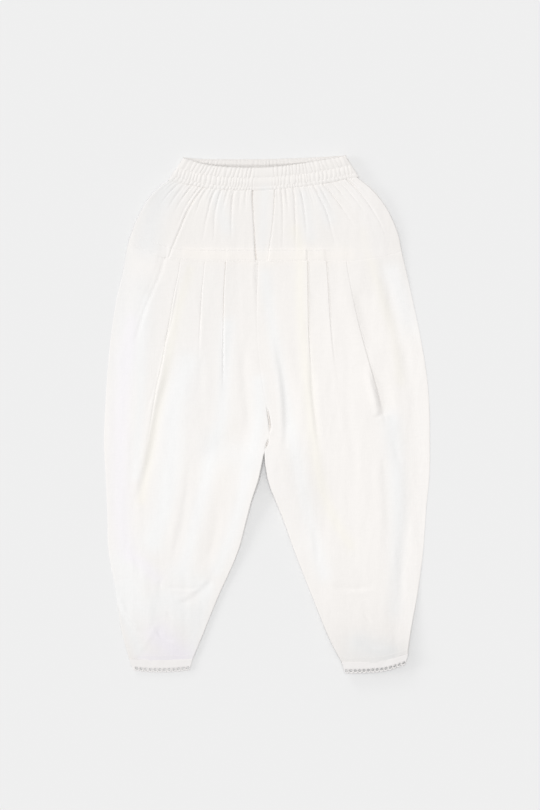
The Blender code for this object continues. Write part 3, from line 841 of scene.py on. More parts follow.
def add_mesh(name, points, faces, material, nodes=()):
    """An object from points in millimetres, that rides on the one body and stands for its nodes."""
    mesh = bpy.data.meshes.new(name)
    mesh.from_pydata(points * MM, [], faces)
    mesh.shade_smooth()
    mesh.set_sharp_from_angle(angle=SHARP_ANGLE)
    mesh.materials.append(material)
    piece = bpy.data.objects.new(name, mesh)
    bpy.context.scene.collection.objects.link(piece)
    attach(piece, "root")
    if nodes:
        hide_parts(*nodes)
    return piece


def paint(piece, colours):
    """Stores a colour at each point, the cloth's white with its painted light and shade, which the cloth's
    material reads.
    """
    layer = piece.data.color_attributes.new("cloth_white_and_painted_light", "FLOAT_COLOR", "POINT")
    rgba = np.concatenate([colours.reshape(-1, 3), np.ones((colours.size // 3, 1))], axis=1)
    layer.data.foreach_set("color", rgba.astype(np.float32).ravel())


def cloth_shell(node, outer, facing, material, thickness=CLOTH, shade=1.0):
    """A node's cloth: a thin wall from the outer grid, and the same grid moved in along its
    normals. Its white, with painted light and shade, is stored at each point, and shade darkens it further
    as painted shade."""
    inner = outer - normals_of(outer, facing) * np.reshape(thickness, (*np.shape(thickness), 1))
    points, faces = closed_wall(outer, inner, facing)
    piece = add_mesh(f"cotton_{node}", points, faces, material, [node])
    paint(piece, white_with_painted_light(points[:, 0], points[:, 1]) * shade)
    return piece


class Nodes:
    """A material's node tree, with a short way to add a node and to link its inputs."""

    def __init__(self, name):
        self.material = bpy.data.materials.new(name)
        self.material.use_nodes = True
        self.tree = self.material.node_tree

    def add(self, kind, settings=(), **inputs):
        node = self.tree.nodes.new(kind)
        for key, value in dict(settings).items():
            setattr(node, key, value)
        for key, value in inputs.items():
            self.set(node, key, value)
        return node

    def set(self, node, key, value):
        socket = node.inputs[int(key[1:])] if key[1:].isdigit() else node.inputs[key.replace("_", " ")]
        if isinstance(value, bpy.types.NodeSocket):
            self.tree.links.new(value, socket)
        else:
            socket.default_value = value

    def maths(self, operation, first, second):
        return self.add("ShaderNodeMath", {"operation": operation}, _0=first, _1=second).outputs[0]

    def waves(self, direction, place, scale, distortion):
        return self.add("ShaderNodeTexWave", {"bands_direction": direction}, Vector=place, Scale=scale,
                        Distortion=distortion, Detail=1.0).outputs["Fac"]

    def noise(self, place, scale):
        return self.add("ShaderNodeTexNoise", Vector=place, Scale=scale, Detail=2.0).outputs["Fac"]

    def finish(self, **inputs):
        """Sets the shader's inputs and gives the material."""
        for key, value in inputs.items():
            self.set(self.tree.nodes["Principled BSDF"], key, value)
        return self.material


def cotton_material(name):
    """Plain-weave cotton: two crossed sets of threads, and slubs that run with each set. The white
    comes from the colour stored at each point, which holds painted light and shade, with a faint fleck."""
    nodes = Nodes(name)
    place = nodes.add("ShaderNodeTexCoord").outputs["Object"]
    warp, weft = (nodes.waves(direction, place, WEAVE_SCALE, 1.2) for direction in ("X", "Y"))
    slubs = []
    for scale in ((SLUB_FINE, SLUB_LONG, SLUB_HIGH), (SLUB_LONG, SLUB_FINE, SLUB_HIGH)):
        drawn_out = nodes.add("ShaderNodeMapping", Vector=place, Scale=scale).outputs["Vector"]
        slubs.append(nodes.noise(drawn_out, 1.0))
    slub = nodes.maths("ADD", *slubs)
    weave = nodes.add("ShaderNodeBump", Height=nodes.maths("MULTIPLY", warp, weft),
                      Distance=WEAVE_DEPTH * MM, Strength=1.0)
    bump = nodes.add("ShaderNodeBump", Height=slub, Distance=SLUB_DEPTH * MM, Strength=1.0,
                     Normal=weave.outputs["Normal"])
    white = nodes.add("ShaderNodeAttribute", {"attribute_name": "cloth_white_and_painted_light"}).outputs["Color"]
    fleck = nodes.add("ShaderNodeMapRange", Value=slub, From_Min=0.6, From_Max=1.4, To_Min=FLECK[0],
                      To_Max=FLECK[1]).outputs["Result"]
    whiteness = nodes.maths("MULTIPLY", fleck, CLOTH_WHITENESS)
    colour = nodes.add("ShaderNodeVectorMath", {"operation": "SCALE"}, _0=white, Scale=whiteness)
    return nodes.finish(Base_Color=colour.outputs["Vector"], Normal=bump.outputs["Normal"], Roughness=0.88,
                        Specular_IOR_Level=0.2, Sheen_Weight=0.12, Sheen_Roughness=0.5)


def thread_material(name, colour, pitch, depth):
    """Twisted cotton thread: fine diagonal ribs over a matt white."""
    nodes = Nodes(name)
    place = nodes.add("ShaderNodeTexCoord").outputs["Object"]
    twist = nodes.waves("DIAGONAL", place, WAVE_REPEAT / (pitch * MM), 2.0)
    height = nodes.maths("ADD", twist, nodes.noise(place, FUZZ_SCALE))
    bump = nodes.add("ShaderNodeBump", Height=height, Distance=depth * MM, Strength=1.0)
    return nodes.finish(Base_Color=(*colour, 1), Normal=bump.outputs["Normal"], Roughness=0.8,
                        Specular_IOR_Level=0.25, Sheen_Weight=0.1)


def band_swell(down):
    """The casing's height down its three tunnels: rounded over the elastic, low at each sewn row,
    with the corners eased."""
    levels = (0.0, 0.10, 0.24, 0.40, 0.455, 0.51, 0.64, 0.775, 0.825, 0.875, 0.94, 1.0)
    heights = (0.2, 0.75, 0.9, 0.45, -0.2, 0.40, 0.8, 0.35, -0.15, 0.10, 0.0, -0.8)
    shifts = np.linspace(-TUNNEL_EASE, TUNNEL_EASE, 5)
    return np.mean([np.interp(down + shift, levels, heights) for shift in shifts], axis=0)


def uneven(row, across, tunnel, down, start, seed):
    """One kind of unevenness of the puckers, as soft noise with its own sizes."""
    level = tunnel * row.tunnel + down * row.down + row.start
    return row.amount * soft_noise(across * row.across + start, level, seed + row.seed)


def pucker_waves(across, down, seed):
    """Cusped waves from their valleys, below 0, to their ridges, above it. The valleys shift and
    lean a little from one tunnel to the next, and their spacing and depth are uneven."""
    tunnel = sum((down > row) * 1.0 for row in SEWN_ROWS)
    middle = SEWN_ROWS[1] - SEWN_ROWS[0]
    lean = (across - 0.5) * (PUCKER_LEAN * np.clip(down - SEWN_ROWS[0], 0, middle) / middle - 0.5)
    drift = uneven(PUCKER_DRIFT, across, tunnel, down, seed, seed)
    drift = drift + uneven(PUCKER_WANDER, across, tunnel, down, seed, seed)
    phase = (PUCKERS + MORE_PUCKERS * tunnel) * across + drift + PUCKER_SHIFT * tunnel + lean
    depth = PUCKER_USUAL + uneven(PUCKER_DEPTH, across, tunnel, down, 3, seed)
    waves = np.abs(np.sin(np.pi * phase)) ** PUCKER_CUSP - PUCKER_MEAN
    fine = np.abs(np.sin(np.pi * (FINE_PUCKERS * phase + FINE_PUCKERS_DRIFT * drift))) - FINE_PUCKERS_MEAN
    return waves * depth + FINE_PUCKERS_SHARE * fine * (FINE_PUCKERS_MOST - depth)


def band_place(across, down, top):
    """Points of the casing: down from the named top edge to the yoke, across from end to end. The
    depth there and the distance to the nearer end are given too."""
    x = BAND_AT["top_x"](across) * (1 - down) + BAND_AT["low_x"](across) * down
    top_y, low_y = BAND_AT[top](across), BAND_AT["low_y"](across)
    from_end = np.minimum(across, 1 - across) * (BAND[-1].low_x - BAND[0].low_x)
    return x, top_y * (1 - down) + low_y * down, top_y - low_y, from_end


def waistband_surface(across, down):
    """The front of the casing: three rounded tunnels drawn into puckers, flat at the middle strip,
    turned over at the top edge and round to the back at both ends."""
    x, y, depth, from_end = band_place(across, down, "front_top")
    beside_strip = np.maximum(FLAT_STRIP[0] - x, x - FLAT_STRIP[1])
    drawn_up = STRIP_PUCKER + (1 - STRIP_PUCKER) * smooth_step(*STRIP_FADE, beside_strip)
    puckers = drawn_up * pucker_waves(across, down, FRONT_PUCKERS_SEED)
    y = y + TOP_SCALLOP * puckers * (1 - smooth_step(0, TOP_SCALLOP_REACH, down))
    below_top = PUCKER_AT_TOP + (1 - PUCKER_AT_TOP) * smooth_step(*PUCKER_TOP_RUN, down)
    z = BAND_HEIGHT + BAND_SWELL * band_swell(down) + PUCKER_HEIGHT * below_top * puckers
    z = z + BAND_WAVE * soft_noise(x / BAND_WAVE_SIZE[0], y / BAND_WAVE_SIZE[1], BAND_WAVE_SEED)
    z = BAND_RIM + (z - BAND_RIM) * roll(depth * down, BAND_TOP_ROUND)
    return stack(x, y, BAND_END + (z - BAND_END) * roll(from_end, BAND_END_ROUND))


def back_band_surface(across, down):
    """The back of the casing from below: puckered, lifted a little off the surface at its edges."""
    x, y, _, from_end = band_place(across, down, "back_top")
    puckers = BACK_BAND_PUCKER * pucker_waves(across, down, BACK_PUCKERS_SEED)
    z = BACK_BAND_LEVEL - puckers - BACK_BAND_SWELL * band_swell(down)
    curl = BACK_BAND_END * (1 - smooth_step(0, BACK_CURL, from_end))
    return stack(x, y, np.maximum(z, FLOOR_GAP) + curl)


def yoke_line(band_x, seam_x, down):
    """A line's place across the yoke, from its place at the band to its place at the seam."""
    places = []
    for x, y in ((band_x, BAND_LOW_AT(band_x)), (seam_x, seam_y(seam_x))):
        right, left = SIDE_AT["right"](y), SIDE_AT["left"](y)
        places.append((x - right) / (left - right))
    return places[0] * (1 - down) + places[1] * down


def yoke_place(across, down):
    """Points of the yoke. Down runs from the band's lower edge to the seam, across from side to
    side of the outline. Both edges' places and the yoke's width are given too."""
    band_edge = BAND_LOW_AT(BAND[0].low_x * (1 - across) + BAND[-1].low_x * across)
    seam_ends = [SIDE_AT[side](SEAM_Y + SEAM_RISE[side]) for side in BOTH]
    seam_edge = seam_y(seam_ends[0] * (1 - across) + seam_ends[1] * across)
    y = band_edge * (1 - down) + seam_edge * down
    right, left = SIDE_AT["right"](y), SIDE_AT["left"](y)
    return right * (1 - across) + left * across, y, band_edge, seam_edge, left - right


def gather_relief(across, down, width, seed):
    """The gathers: valleys that wander a little between low shoulders."""
    relief = np.zeros(np.shape(across))
    for gather in GATHERS:
        pace = np.full_like(relief, gather.band_x)
        wander = GATHER_WANDER * soft_noise(pace, down * GATHER_WANDER_PACE, seed + GATHER_WANDER_SEED)
        away = (across - yoke_line(gather.band_x, gather.seam_x, down)) * width
        away = away + wander * smooth_step(0, GATHER_WANDER_RUN, down)
        valley = bell(away, GATHER_WIDTH) - SHOULDER * bell(np.abs(away) - SHOULDER_AWAY, SHOULDER_WIDTH)
        fade = np.clip(1 - np.clip(down, 0, None) / gather.length, 0, 1) ** GATHER_TAPER
        opened = GATHER_UNDER_BAND + (1 - GATHER_UNDER_BAND) * smooth_step(0, GATHER_OPENS, down)
        relief -= GATHER_DEPTH * gather.depth * fade * valley * opened
    return relief


def strip_relief(across, down, width):
    """Where the flat middle strip is, from 0 to 1, and the grooves at its two edges."""
    strip, grooves = 1.0, 0.0
    level = np.clip(down, 0, 1)
    for edge in STRIP_EDGES:
        inside = edge.inward * (across - yoke_line(edge.band_x, edge.seam_x, down)) * width
        strip = strip * smooth_step(-STRIP_EDGE, STRIP_EDGE, inside)
        eased = edge.eases * bell(level - edge.level, edge.reach) + edge.fades * level
        grooves = grooves + edge.groove * (1 - eased) * bell(inside + STRIP_GROOVE_OUT, STRIP_GROOVE_WIDTH)
    return strip, grooves


def seam_band_relief(x, y, above_seam, strip, seed):
    """The seam allowance under the yoke's lower end: a raised band with the pleats pressed through
    it, low on the strip and towards the left side, and a dip along each row of stitches."""
    flat = smooth_step(*SEAM_BAND_FADE, x)
    edge = SEAM_BAND_EDGE + SEAM_BAND_SOFTENS * flat
    raised = smooth_step(-edge, edge, SEAM_BAND - above_seam)
    relief = SEAM_BAND_RISE * raised * (1 - SEAM_BAND_ON_STRIP * strip) * (1 - SEAM_BAND_FADES * flat)
    sewn = sum(bell(above_seam - row, SEAM_ROW_WIDTH) for row in SEAM_ROWS)
    waves = soft_noise(x / SEAM_BAND_WAVE_SIZE[0], y / SEAM_BAND_WAVE_SIZE[1], seed + 4)
    pressed = SEAM_BAND_WAVE * waves + PLEATS_PRESSED * pleat_press(x)
    return relief - SEAM_ROW_DEPTH * (1 - flat) * sewn + raised * pressed


def yoke_relief(across, down, seed):
    """The yoke's relief: gathers, fine puckers right under the band, the middle strip between its
    grooves, the seam band and the cloth's ripples."""
    x, y, _, seam_edge, width = yoke_place(across, down)
    strip, grooves = strip_relief(across, down, width)
    relief = gather_relief(across, down, width, seed) - grooves - STRIP_SINK * strip
    noise = soft_noise(across * YOKE_PUCKER_PACE, across * 0, seed + 2)
    reach = YOKE_PUCKER_REACH * (1 + YOKE_PUCKER_UNEVEN * noise)
    fade = np.clip(1 - np.clip(down, 0, None) / reach, 0, 1)
    puckers = pucker_waves(across, np.full_like(x, YOKE_PUCKER_LEVEL), FRONT_PUCKERS_SEED) * (1 - strip)
    relief += YOKE_PUCKER_DEPTH * fade * puckers
    relief += seam_band_relief(x, y, y - seam_edge, strip, seed)
    return relief + YOKE_RIPPLES * ripple_relief(x, y, seed)


def yoke_front_surface(across, down):
    """The front yoke: the front's height with the yoke's relief, rounded down to the surface at the
    sides, tucked under the band above and turned in at the seam below."""
    x, y, band_edge, seam_edge, width = yoke_place(across, down)
    from_edge = np.minimum(across, 1 - across) * width
    away_from_band = smooth_step(*BAND_SLOPE, band_edge - y)
    z = BAND_FOOT + (front_top(x, y) - BAND_FOOT) * away_from_band
    z = z + yoke_relief(across, down, 0) * roll(from_edge, RELIEF_EDGE)
    z = z - YOKE_TUCK_DEPTH * smooth_step(*YOKE_TUCK_RUN, y - band_edge)
    z = z - SEAM_TURN * (1 - smooth_step(0, SEAM_TURN_RUN, y - seam_edge))
    rounding = BAND_END_ROUND + (EDGE_ROUND - BAND_END_ROUND) * away_from_band
    rim = rim_height(OUTER_EDGE_AT, y)
    return stack(x, y, rim + (z - rim) * roll(from_edge, rounding))


def yoke_back_surface(across, down):
    """The back yoke from below: the yoke's relief mirrored and lifted, curled up at the sides."""
    x, y, _, _, width = yoke_place(across, down)
    from_edge = np.minimum(across, 1 - across) * width
    relief = yoke_relief(1 - across, down, YOKE_BACK_SEED)
    z = back_lift(relief, YOKE_BACK_LEVEL, YOKE_BACK_SHARE, from_edge)
    z = z + back_curl(OUTER_EDGE_AT, y, from_edge)
    return stack(x + BACK_INSET * (1 - 2 * across), y, z)


def fold_line(fold, along):
    """A fold's place across the leg: straight between its five levels, with the corners eased."""
    places = [fold.yoke, fold.thigh, fold.fork, fold.knee, fold.hem]
    shifts = np.linspace(-FOLD_CORNER_SPREAD, FOLD_CORNER_SPREAD, 5)
    return np.mean([np.interp(along + shift, FOLD_LEVELS, places) for shift in shifts], axis=0)


def leg_place(side, across, along):
    """Points of a leg, from the seam at the yoke to the hem and from the outer side to the inner,
    and the leg's width there."""
    outer_x = SIDE_AT[side](SEAM_Y + SEAM_RISE[side])
    top = seam_y(outer_x * (1 - across) + INNER_AT[side](SEAM_Y) * across)
    y = top * (1 - along) + HEM_AT[side](across) * along
    outer, inner = SIDE_AT[side](y), INNER_AT[side](y)
    return outer * (1 - across) + inner * across, y, np.abs(inner - outer)


def fold_step(side, fold, level):
    """Half the width of a pleat's step: sharp at the yoke and softer further down."""
    softened = np.clip(level / fold.end, 0, 1) ** STEP_SOFTENS[side]
    return STEP_SHARP + (STEP_SOFT[side] - STEP_SHARP) * softened


def fold_fade(fold, level):
    """How much of a fold there is at each level: it deepens below the yoke, where it is sewn into the
    seam, or else fades in, and it fades out after the share of its length for which it holds."""
    starts = fold.top + (1 - fold.top) * smooth_step(0, fold.full, level)
    if fold.start > 0:
        starts = smooth_step(-FOLD_EASE, FOLD_EASE, level - fold.start)
    fades_from = fold.start + fold.holds * (fold.end - fold.start)
    return starts * (1 - smooth_step(fades_from, fold.end, level))


def fold_shift(side, across, along, width):
    """How far a pleat's cloth moves across the leg, so that its edge overhangs the layer below: the
    upper half of the step moves out and the lower half in, as an S."""
    shift = np.zeros(across.shape)
    level = np.clip(along, 0, None)
    for fold in FOLDS[side]:
        if fold.kind == "knife":
            turn = (across - fold_line(fold, level)) * width / fold_step(side, fold, level)
            strength = UNDERLAP[side] * np.sqrt(fold_fade(fold, level))
            shift -= strength * STEP_SHARP * 2 * turn * bell(turn, 1)
    return shift / width


def fold_relief(side, across, along, width):
    """Height that a leg's pleats and troughs add. A knife pleat steps up at its edge, sharply at
    the yoke and softer further down, with a groove at its foot, and slopes away behind. A trough
    is a valley with soft sides. All fade out down the leg."""
    relief = np.zeros(across.shape)
    level = np.clip(along, 0, None)
    for fold in FOLDS[side]:
        away = (across - fold_line(fold, level)) * width
        shape = -bell(away, fold.width)
        if fold.kind == "knife":
            turn = away / fold_step(side, fold, level)
            shape = smooth_step(-1, 1, turn) * np.exp(-np.clip(away, 0, None) / fold.width)
            shape = shape - fold.groove * bell(turn + PLEAT_FOOT[side], PLEAT_GROOVE_WIDTH)
        relief += fold.depth * fold_fade(fold, level) * shape
    return relief


def pleat_press(x):
    """The pleats' thickness, as it shows through the seam band above them."""
    pressed = np.zeros(np.shape(x))
    for side in BOTH:
        outer, inner = SIDE_AT[side](SEAM_Y + SEAM_RISE[side]), INNER_AT[side](SEAM_Y)
        across = (x - outer) / (inner - outer)
        own = (across >= 0) & (across <= 1)
        relief = fold_relief(side, np.clip(across, 0, 1), np.zeros(np.shape(x)), np.abs(inner - outer))
        pressed = np.where(own, relief, pressed)
    return pressed


def ankle_lift(side, y):
    """How far the ankle stands off the surface: the wearer's left one lies on a slight bend."""
    return ANKLE_LIFT[side] * smooth_step(*ANKLE_BEND, -y)


def leg_front_surface(side, across, along):
    """A leg's front: the bulge of the front, its folds, creases and ripples. It is rounded down at
    the outer side, and at the inner side below the fork. Above it, the centre seam is a valley."""
    x, y, width = leg_place(side, across, along)
    from_inner, from_outer = (1 - across) * width, across * width
    below_fork, opened = smooth_step(*FORK_EASE, -y), smooth_step(*FORK_OPEN, -y)
    rise = EDGE_RISE + FORK_RISE * bell(y - FORK_RECESS_Y, FORK_RISE_RUN)
    top = front_top(x, y)
    top = top + (INNER_EDGE_AT(y) - top) * below_fork * (1 - swelling(from_inner, rise))
    relief = fold_relief(side, across, along, width) * roll(from_inner)
    relief += crease_relief(CREASES[side], x, y)
    relief += ripple_relief(x, y, 0) * roll(from_inner, RELIEF_EDGE) * roll(from_outer, RELIEF_EDGE)
    z = top + relief + SEAM_PAD * (1 - smooth_step(0, SEAM_PAD_REACH, along))
    gaping = sum(smooth_step(*gap[:2], -y) * (1 - smooth_step(*gap[2:], -y)) for gap in FORK_GAPS)
    dip = CENTRE_DIP + (CENTRE_DIP_AT_FORK - CENTRE_DIP) * gaping
    z = z - dip * bell(from_inner, CENTRE_DIP_WIDTH) * (1 - opened)
    z = z - LEG_TUCK_DEPTH * smooth_step(0, LEG_TUCK, -along)
    lift = ankle_lift(side, y)
    z = z + lift - HEM_FALL * smooth_step(HEM_FALL_FROM, 1.0, along)
    outer_rim = rim_height(OUTER_EDGE_AT, y) + RIM_SHARE * lift
    inner_rim = rim_height(INNER_EDGE_AT, y) + RIM_SHARE * lift
    z = outer_rim + (z - outer_rim) * roll(from_outer, EDGE_ROUND)
    z = inner_rim + (z - inner_rim) * (1 - opened * (1 - roll(from_inner, EDGE_ROUND)))
    x = leg_place(side, across + fold_shift(side, across, along, width), along)[0]
    return stack(x, y, z)


def leg_back_surface(side, across, along):
    """A leg's back from below, with its own ripples, curled up to the front at its edges."""
    x, y, width = leg_place(side, across, along)
    relief = fold_relief(side, across, along, width) + ripple_relief(x, y, LEG_BACK_SEED)
    recess = FORK_RECESS * bell(y - FORK_RECESS_Y, FORK_RECESS_RUN) * across**4
    inset = (BACK_INSET * (1 - 2 * across) - recess) / width
    x = leg_place(side, across + inset, along)[0]
    z = back_lift(relief, LEG_BACK_LEVEL, LEG_BACK_SHARE, np.minimum(across, 1 - across) * width)
    z = z + back_curl(OUTER_EDGE_AT, y, across * width)
    z = z + smooth_step(*FORK_OPEN, -y) * back_curl(INNER_EDGE_AT, y, (1 - across) * width)
    return stack(x, y, z + RIM_SHARE * ankle_lift(side, y))


def leg_columns(side, along):
    """Lines down a leg: close at its edges and at each pleat's step, and even between them."""
    lines = edge_lines(along, USUAL_LEG_WIDTH)
    level = np.clip(along, 0, None)
    for fold in FOLDS[side]:
        if fold.kind == "knife":
            places, step = fold_line(fold, level), fold_step(side, fold, level)
            lines += [places + turn * step / USUAL_LEG_WIDTH for turn in STEP_TURNS]
    return spread(filled(lines, USUAL_LEG_WIDTH, LEG_SPACING))


def leg_rows(fineness):
    """Levels down a leg: closest under the yoke and over the ankle."""
    runs = [(0, 0.06, 24), (0.06, 0.76, 165), (0.76, 1, 90)]
    parts = [np.linspace(start, end, int(count * fineness)) for start, end, count in runs]
    return np.unique(np.concatenate([np.linspace(-LEG_TUCK, 0, 3), *parts]))


def leg_front(side, material):
    along = leg_rows(1.0)
    across = leg_columns(side, along)
    outer = leg_front_surface(side, across, over(along, across))
    return cloth_shell(f"leg_{side}_front", outer, 1, material)


def leg_back(side, material):
    along = leg_rows(0.6)
    across = spread(filled([along * 0, along * 0 + 1], USUAL_LEG_WIDTH, LEG_BACK_SPACING))
    outer = leg_back_surface(side, across, over(along, across))
    return cloth_shell(f"leg_{side}_back", outer, -1, material)


def yoke_columns(down):
    """Lines down the yoke: close at its edges, at each gather and at the strip, even between."""
    lines = edge_lines(down, USUAL_YOKE_WIDTH)
    level = np.clip(down, 0, 1)
    for rows, offsets in ((GATHERS, GATHER_OFFSETS), (STRIP_EDGES, STRIP_OFFSETS)):
        for row in rows:
            line = yoke_line(row.band_x, row.seam_x, level)
            lines += [line + offset / USUAL_YOKE_WIDTH for offset in offsets]
    return spread(filled(lines, USUAL_YOKE_WIDTH, YOKE_SPACING))


def yoke_front(material):
    length = BAND_LOW_AT(0.0) - SEAM_Y
    tucked, even = np.linspace(-YOKE_TUCK / length, 0, 3), np.linspace(0, 1, 64) ** 1.15
    down = np.unique(np.concatenate([tucked, even, 1 - np.array(YOKE_LAST_ROWS) / length]))
    across = yoke_columns(down)
    return cloth_shell("yoke_front", yoke_front_surface(across, over(down, across)), 1, material)


def yoke_back(material):
    grid = np.meshgrid(np.linspace(0, 1, 150), np.linspace(0, 1, 48))
    return cloth_shell("yoke_back", yoke_back_surface(*grid), -1, material)


def waistband_front(material):
    top = np.array([0, 0.0015, 0.006, 0.014, 0.027, 0.045, 0.07])
    down = np.unique(np.concatenate([top, np.linspace(0.09, 1, 40)]))
    ends = np.array([0, 0.0002, 0.0008, 0.002, 0.004, 0.007, 0.011, 0.016])
    across = np.unique(np.concatenate([ends, 1 - ends, np.linspace(0.02, 0.98, 330)]))
    outer = waistband_surface(*np.meshgrid(across, down))
    return cloth_shell("waistband_front", outer, 1, material, BAND_THICKNESS)


def waistband_back(material):
    """The back half. Its wall is thick in the middle of the inside that shows, with a rounded top
    edge, a groove under it and puckers below. The whole piece's white is darkened as painted shade."""
    ends = np.array([0, 0.004, 0.012, 0.025])
    down = np.unique(np.concatenate([ends, np.linspace(0.035, 0.15, 14), np.linspace(0.17, 1, 26)]))
    across = np.unique(np.concatenate([ends / 4, 1 - ends / 4, np.linspace(0.01, 0.99, 260)]))
    across, down = np.meshgrid(across, down)
    from_top = down * (BAND[2].back_top - BAND[2].low_y)
    rounded = BACK_BAND_RIM + (1 - BACK_BAND_RIM) * roll(from_top, BACK_BAND_ROUND)
    thinner = 1 - BACK_BAND_THINS * smooth_step(*BACK_BAND_THINNER, from_top)
    thickness = BACK_BAND_THICKNESS * rounded * thinner
    groove = BACK_BAND_GROOVE * bell(from_top - BACK_BAND_GROOVE_AT, BACK_BAND_GROOVE_WIDTH)
    puckers = INSIDE_PUCKER * pucker_waves(across, INSIDE_PUCKER_LEVEL, INSIDE_PUCKERS_SEED)
    thickness = thickness - groove + puckers * smooth_step(*INSIDE_PUCKER_RISE, from_top)
    outer = back_band_surface(across, down)
    return cloth_shell("waistband_back", outer, -1, material, thickness, INSIDE_PAINTED_SHADE)


def lace_place(side, across, drop):
    """Points of a lace strip: across the hem, and by the drop below it."""
    sign = -1 if side == "right" else 1
    outer, inner = SIDE_AT[side](HEM_AT[side](0.0)), INNER_AT[side](HEM_AT[side](1.0))
    top_x = outer * (1 - across) + inner * across
    low_x = (outer - sign * LACE_INSET) * (1 - across) + (inner + sign * LACE_INSET) * across
    share = drop / LACE_HEIGHT
    sag = LACE_SAG[side] * (1 - (2 * across - 1) ** 2) * np.clip(drop / HEADER_HEIGHT, 0, 1)
    return top_x * (1 - share) + low_x * share, HEM_AT[side](across) - drop - sag


def lace_height(side, layer, across, drop):
    """The strip's middle height: on the hem at its top, and settling towards the surface."""
    lift = LACE_LIFTED[layer] * ankle_lift(side, HEM_AT[side](across))
    wave = LACE_WAVE * soft_noise(across * 9, drop / 9, LACE_WAVE_SEED)
    return LACE_LEVEL[layer] + lift - LACE_FALL * drop + wave


def lace_strip(side, layer, material):
    """Eyelet lace: a woven header, below it a row of rings that widen downwards into scallops with
    a picot each."""
    across, drop = np.meshgrid(np.linspace(0, 1, 201), np.linspace(-LACE_OVERLAP, HEADER_HEIGHT, 16))
    ribs = HEADER_RIB * np.abs(np.sin(np.pi * EYELETS[side] * HEADER_RIBS * across))
    edge = 1 - roll(np.minimum(drop + LACE_OVERLAP, HEADER_HEIGHT - drop), HEADER_EDGE_RUN)
    z = lace_height(side, layer, across, drop) + LACE_THICKNESS / 2 + ribs - HEADER_EDGE * edge
    header = stack(*lace_place(side, across, drop), z)
    points, faces = closed_wall(header, header - np.array([0, 0, HEADER_THICKNESS]), 1)
    rings, ring_faces = eyelet_rings(side, layer)
    faces = np.concatenate([faces, ring_faces + len(points)])
    name = f"lace_{side}_{layer}"
    return add_mesh(f"eyelet_{name}", np.concatenate([points, rings]), faces, material, [name])


def eyelet_rings(side, layer):
    """All rings of a strip as one set of points and quads. The angle runs round the hole and the
    turn round the ring's section, an ellipse between the hole and the ring's outer edge."""
    count = EYELETS[side]
    angle = np.linspace(0, 2 * np.pi, 40, endpoint=False)[None, :, None]
    turn = np.linspace(0, 2 * np.pi, 8, endpoint=False)[None, None, :]
    number = np.arange(count)[:, None, None]
    start, end = EYELET_RUN[side]
    centre = start + (end - start) * (number + 0.5) / count
    width = np.abs(lace_place(side, 1.0, EYELET_DROP)[0] - lace_place(side, 0.0, EYELET_DROP)[0])
    tail = LACE_TAIL[side] * (number == 0) * (np.cos(angle) < 0)
    half_cell = (end - start) * width / count / 2 + tail
    downward = np.sin(angle) < 0
    scallop = SCALLOP_DROP[side] + PICOT_REACH * bell(np.cos(angle), PICOT_WIDTH)
    height = np.where(downward, scallop, EYELET_RISE)
    power = np.where(downward, SCALLOP_POWER[side], EYELET_POWER)
    squared = (np.abs(np.cos(angle)) / half_cell) ** power + (np.abs(np.sin(angle)) / height) ** power
    reach = squared ** (-1 / power)
    radius = (reach + EYELET_HOLE) / 2 + (reach - EYELET_HOLE) / 2 * np.cos(turn)
    across, drop = np.broadcast_arrays(
        centre + radius * np.cos(angle) / width, EYELET_DROP - radius * np.sin(angle))
    wraps = 1 + EYELET_WRAP_DEPTH * np.cos(EYELET_WRAPS * angle)
    z = lace_height(side, layer, across, drop) + LACE_THICKNESS / 2 * wraps * np.sin(turn)
    points = stack(*lace_place(side, across, drop), z)
    index = np.arange(points[..., 0].size).reshape(points.shape[:3])
    next_angle, next_turn = np.roll(index, -1, axis=1), np.roll(index, -1, axis=2)
    both = np.roll(next_angle, -1, axis=2)
    faces = np.stack([index, next_angle, both, next_turn], axis=-1).reshape(-1, 4)
    return points.reshape(-1, 3), faces


def even_places(points, pitch):
    """Places and directions along a line of points, one for each stitch."""
    steps = np.linalg.norm(np.diff(points, axis=0), axis=1)
    length = np.concatenate([[0], np.cumsum(steps)])
    count = max(int(length[-1] // pitch), 1)
    middles = (np.arange(count) + 0.5) * length[-1] / count

    def at(where):
        return np.stack([np.interp(where, length, points[:, axis]) for axis in range(3)], axis=1)

    directions = at(middles + pitch / 3) - at(middles - pitch / 3)
    return at(middles), directions / np.linalg.norm(directions, axis=1, keepdims=True)


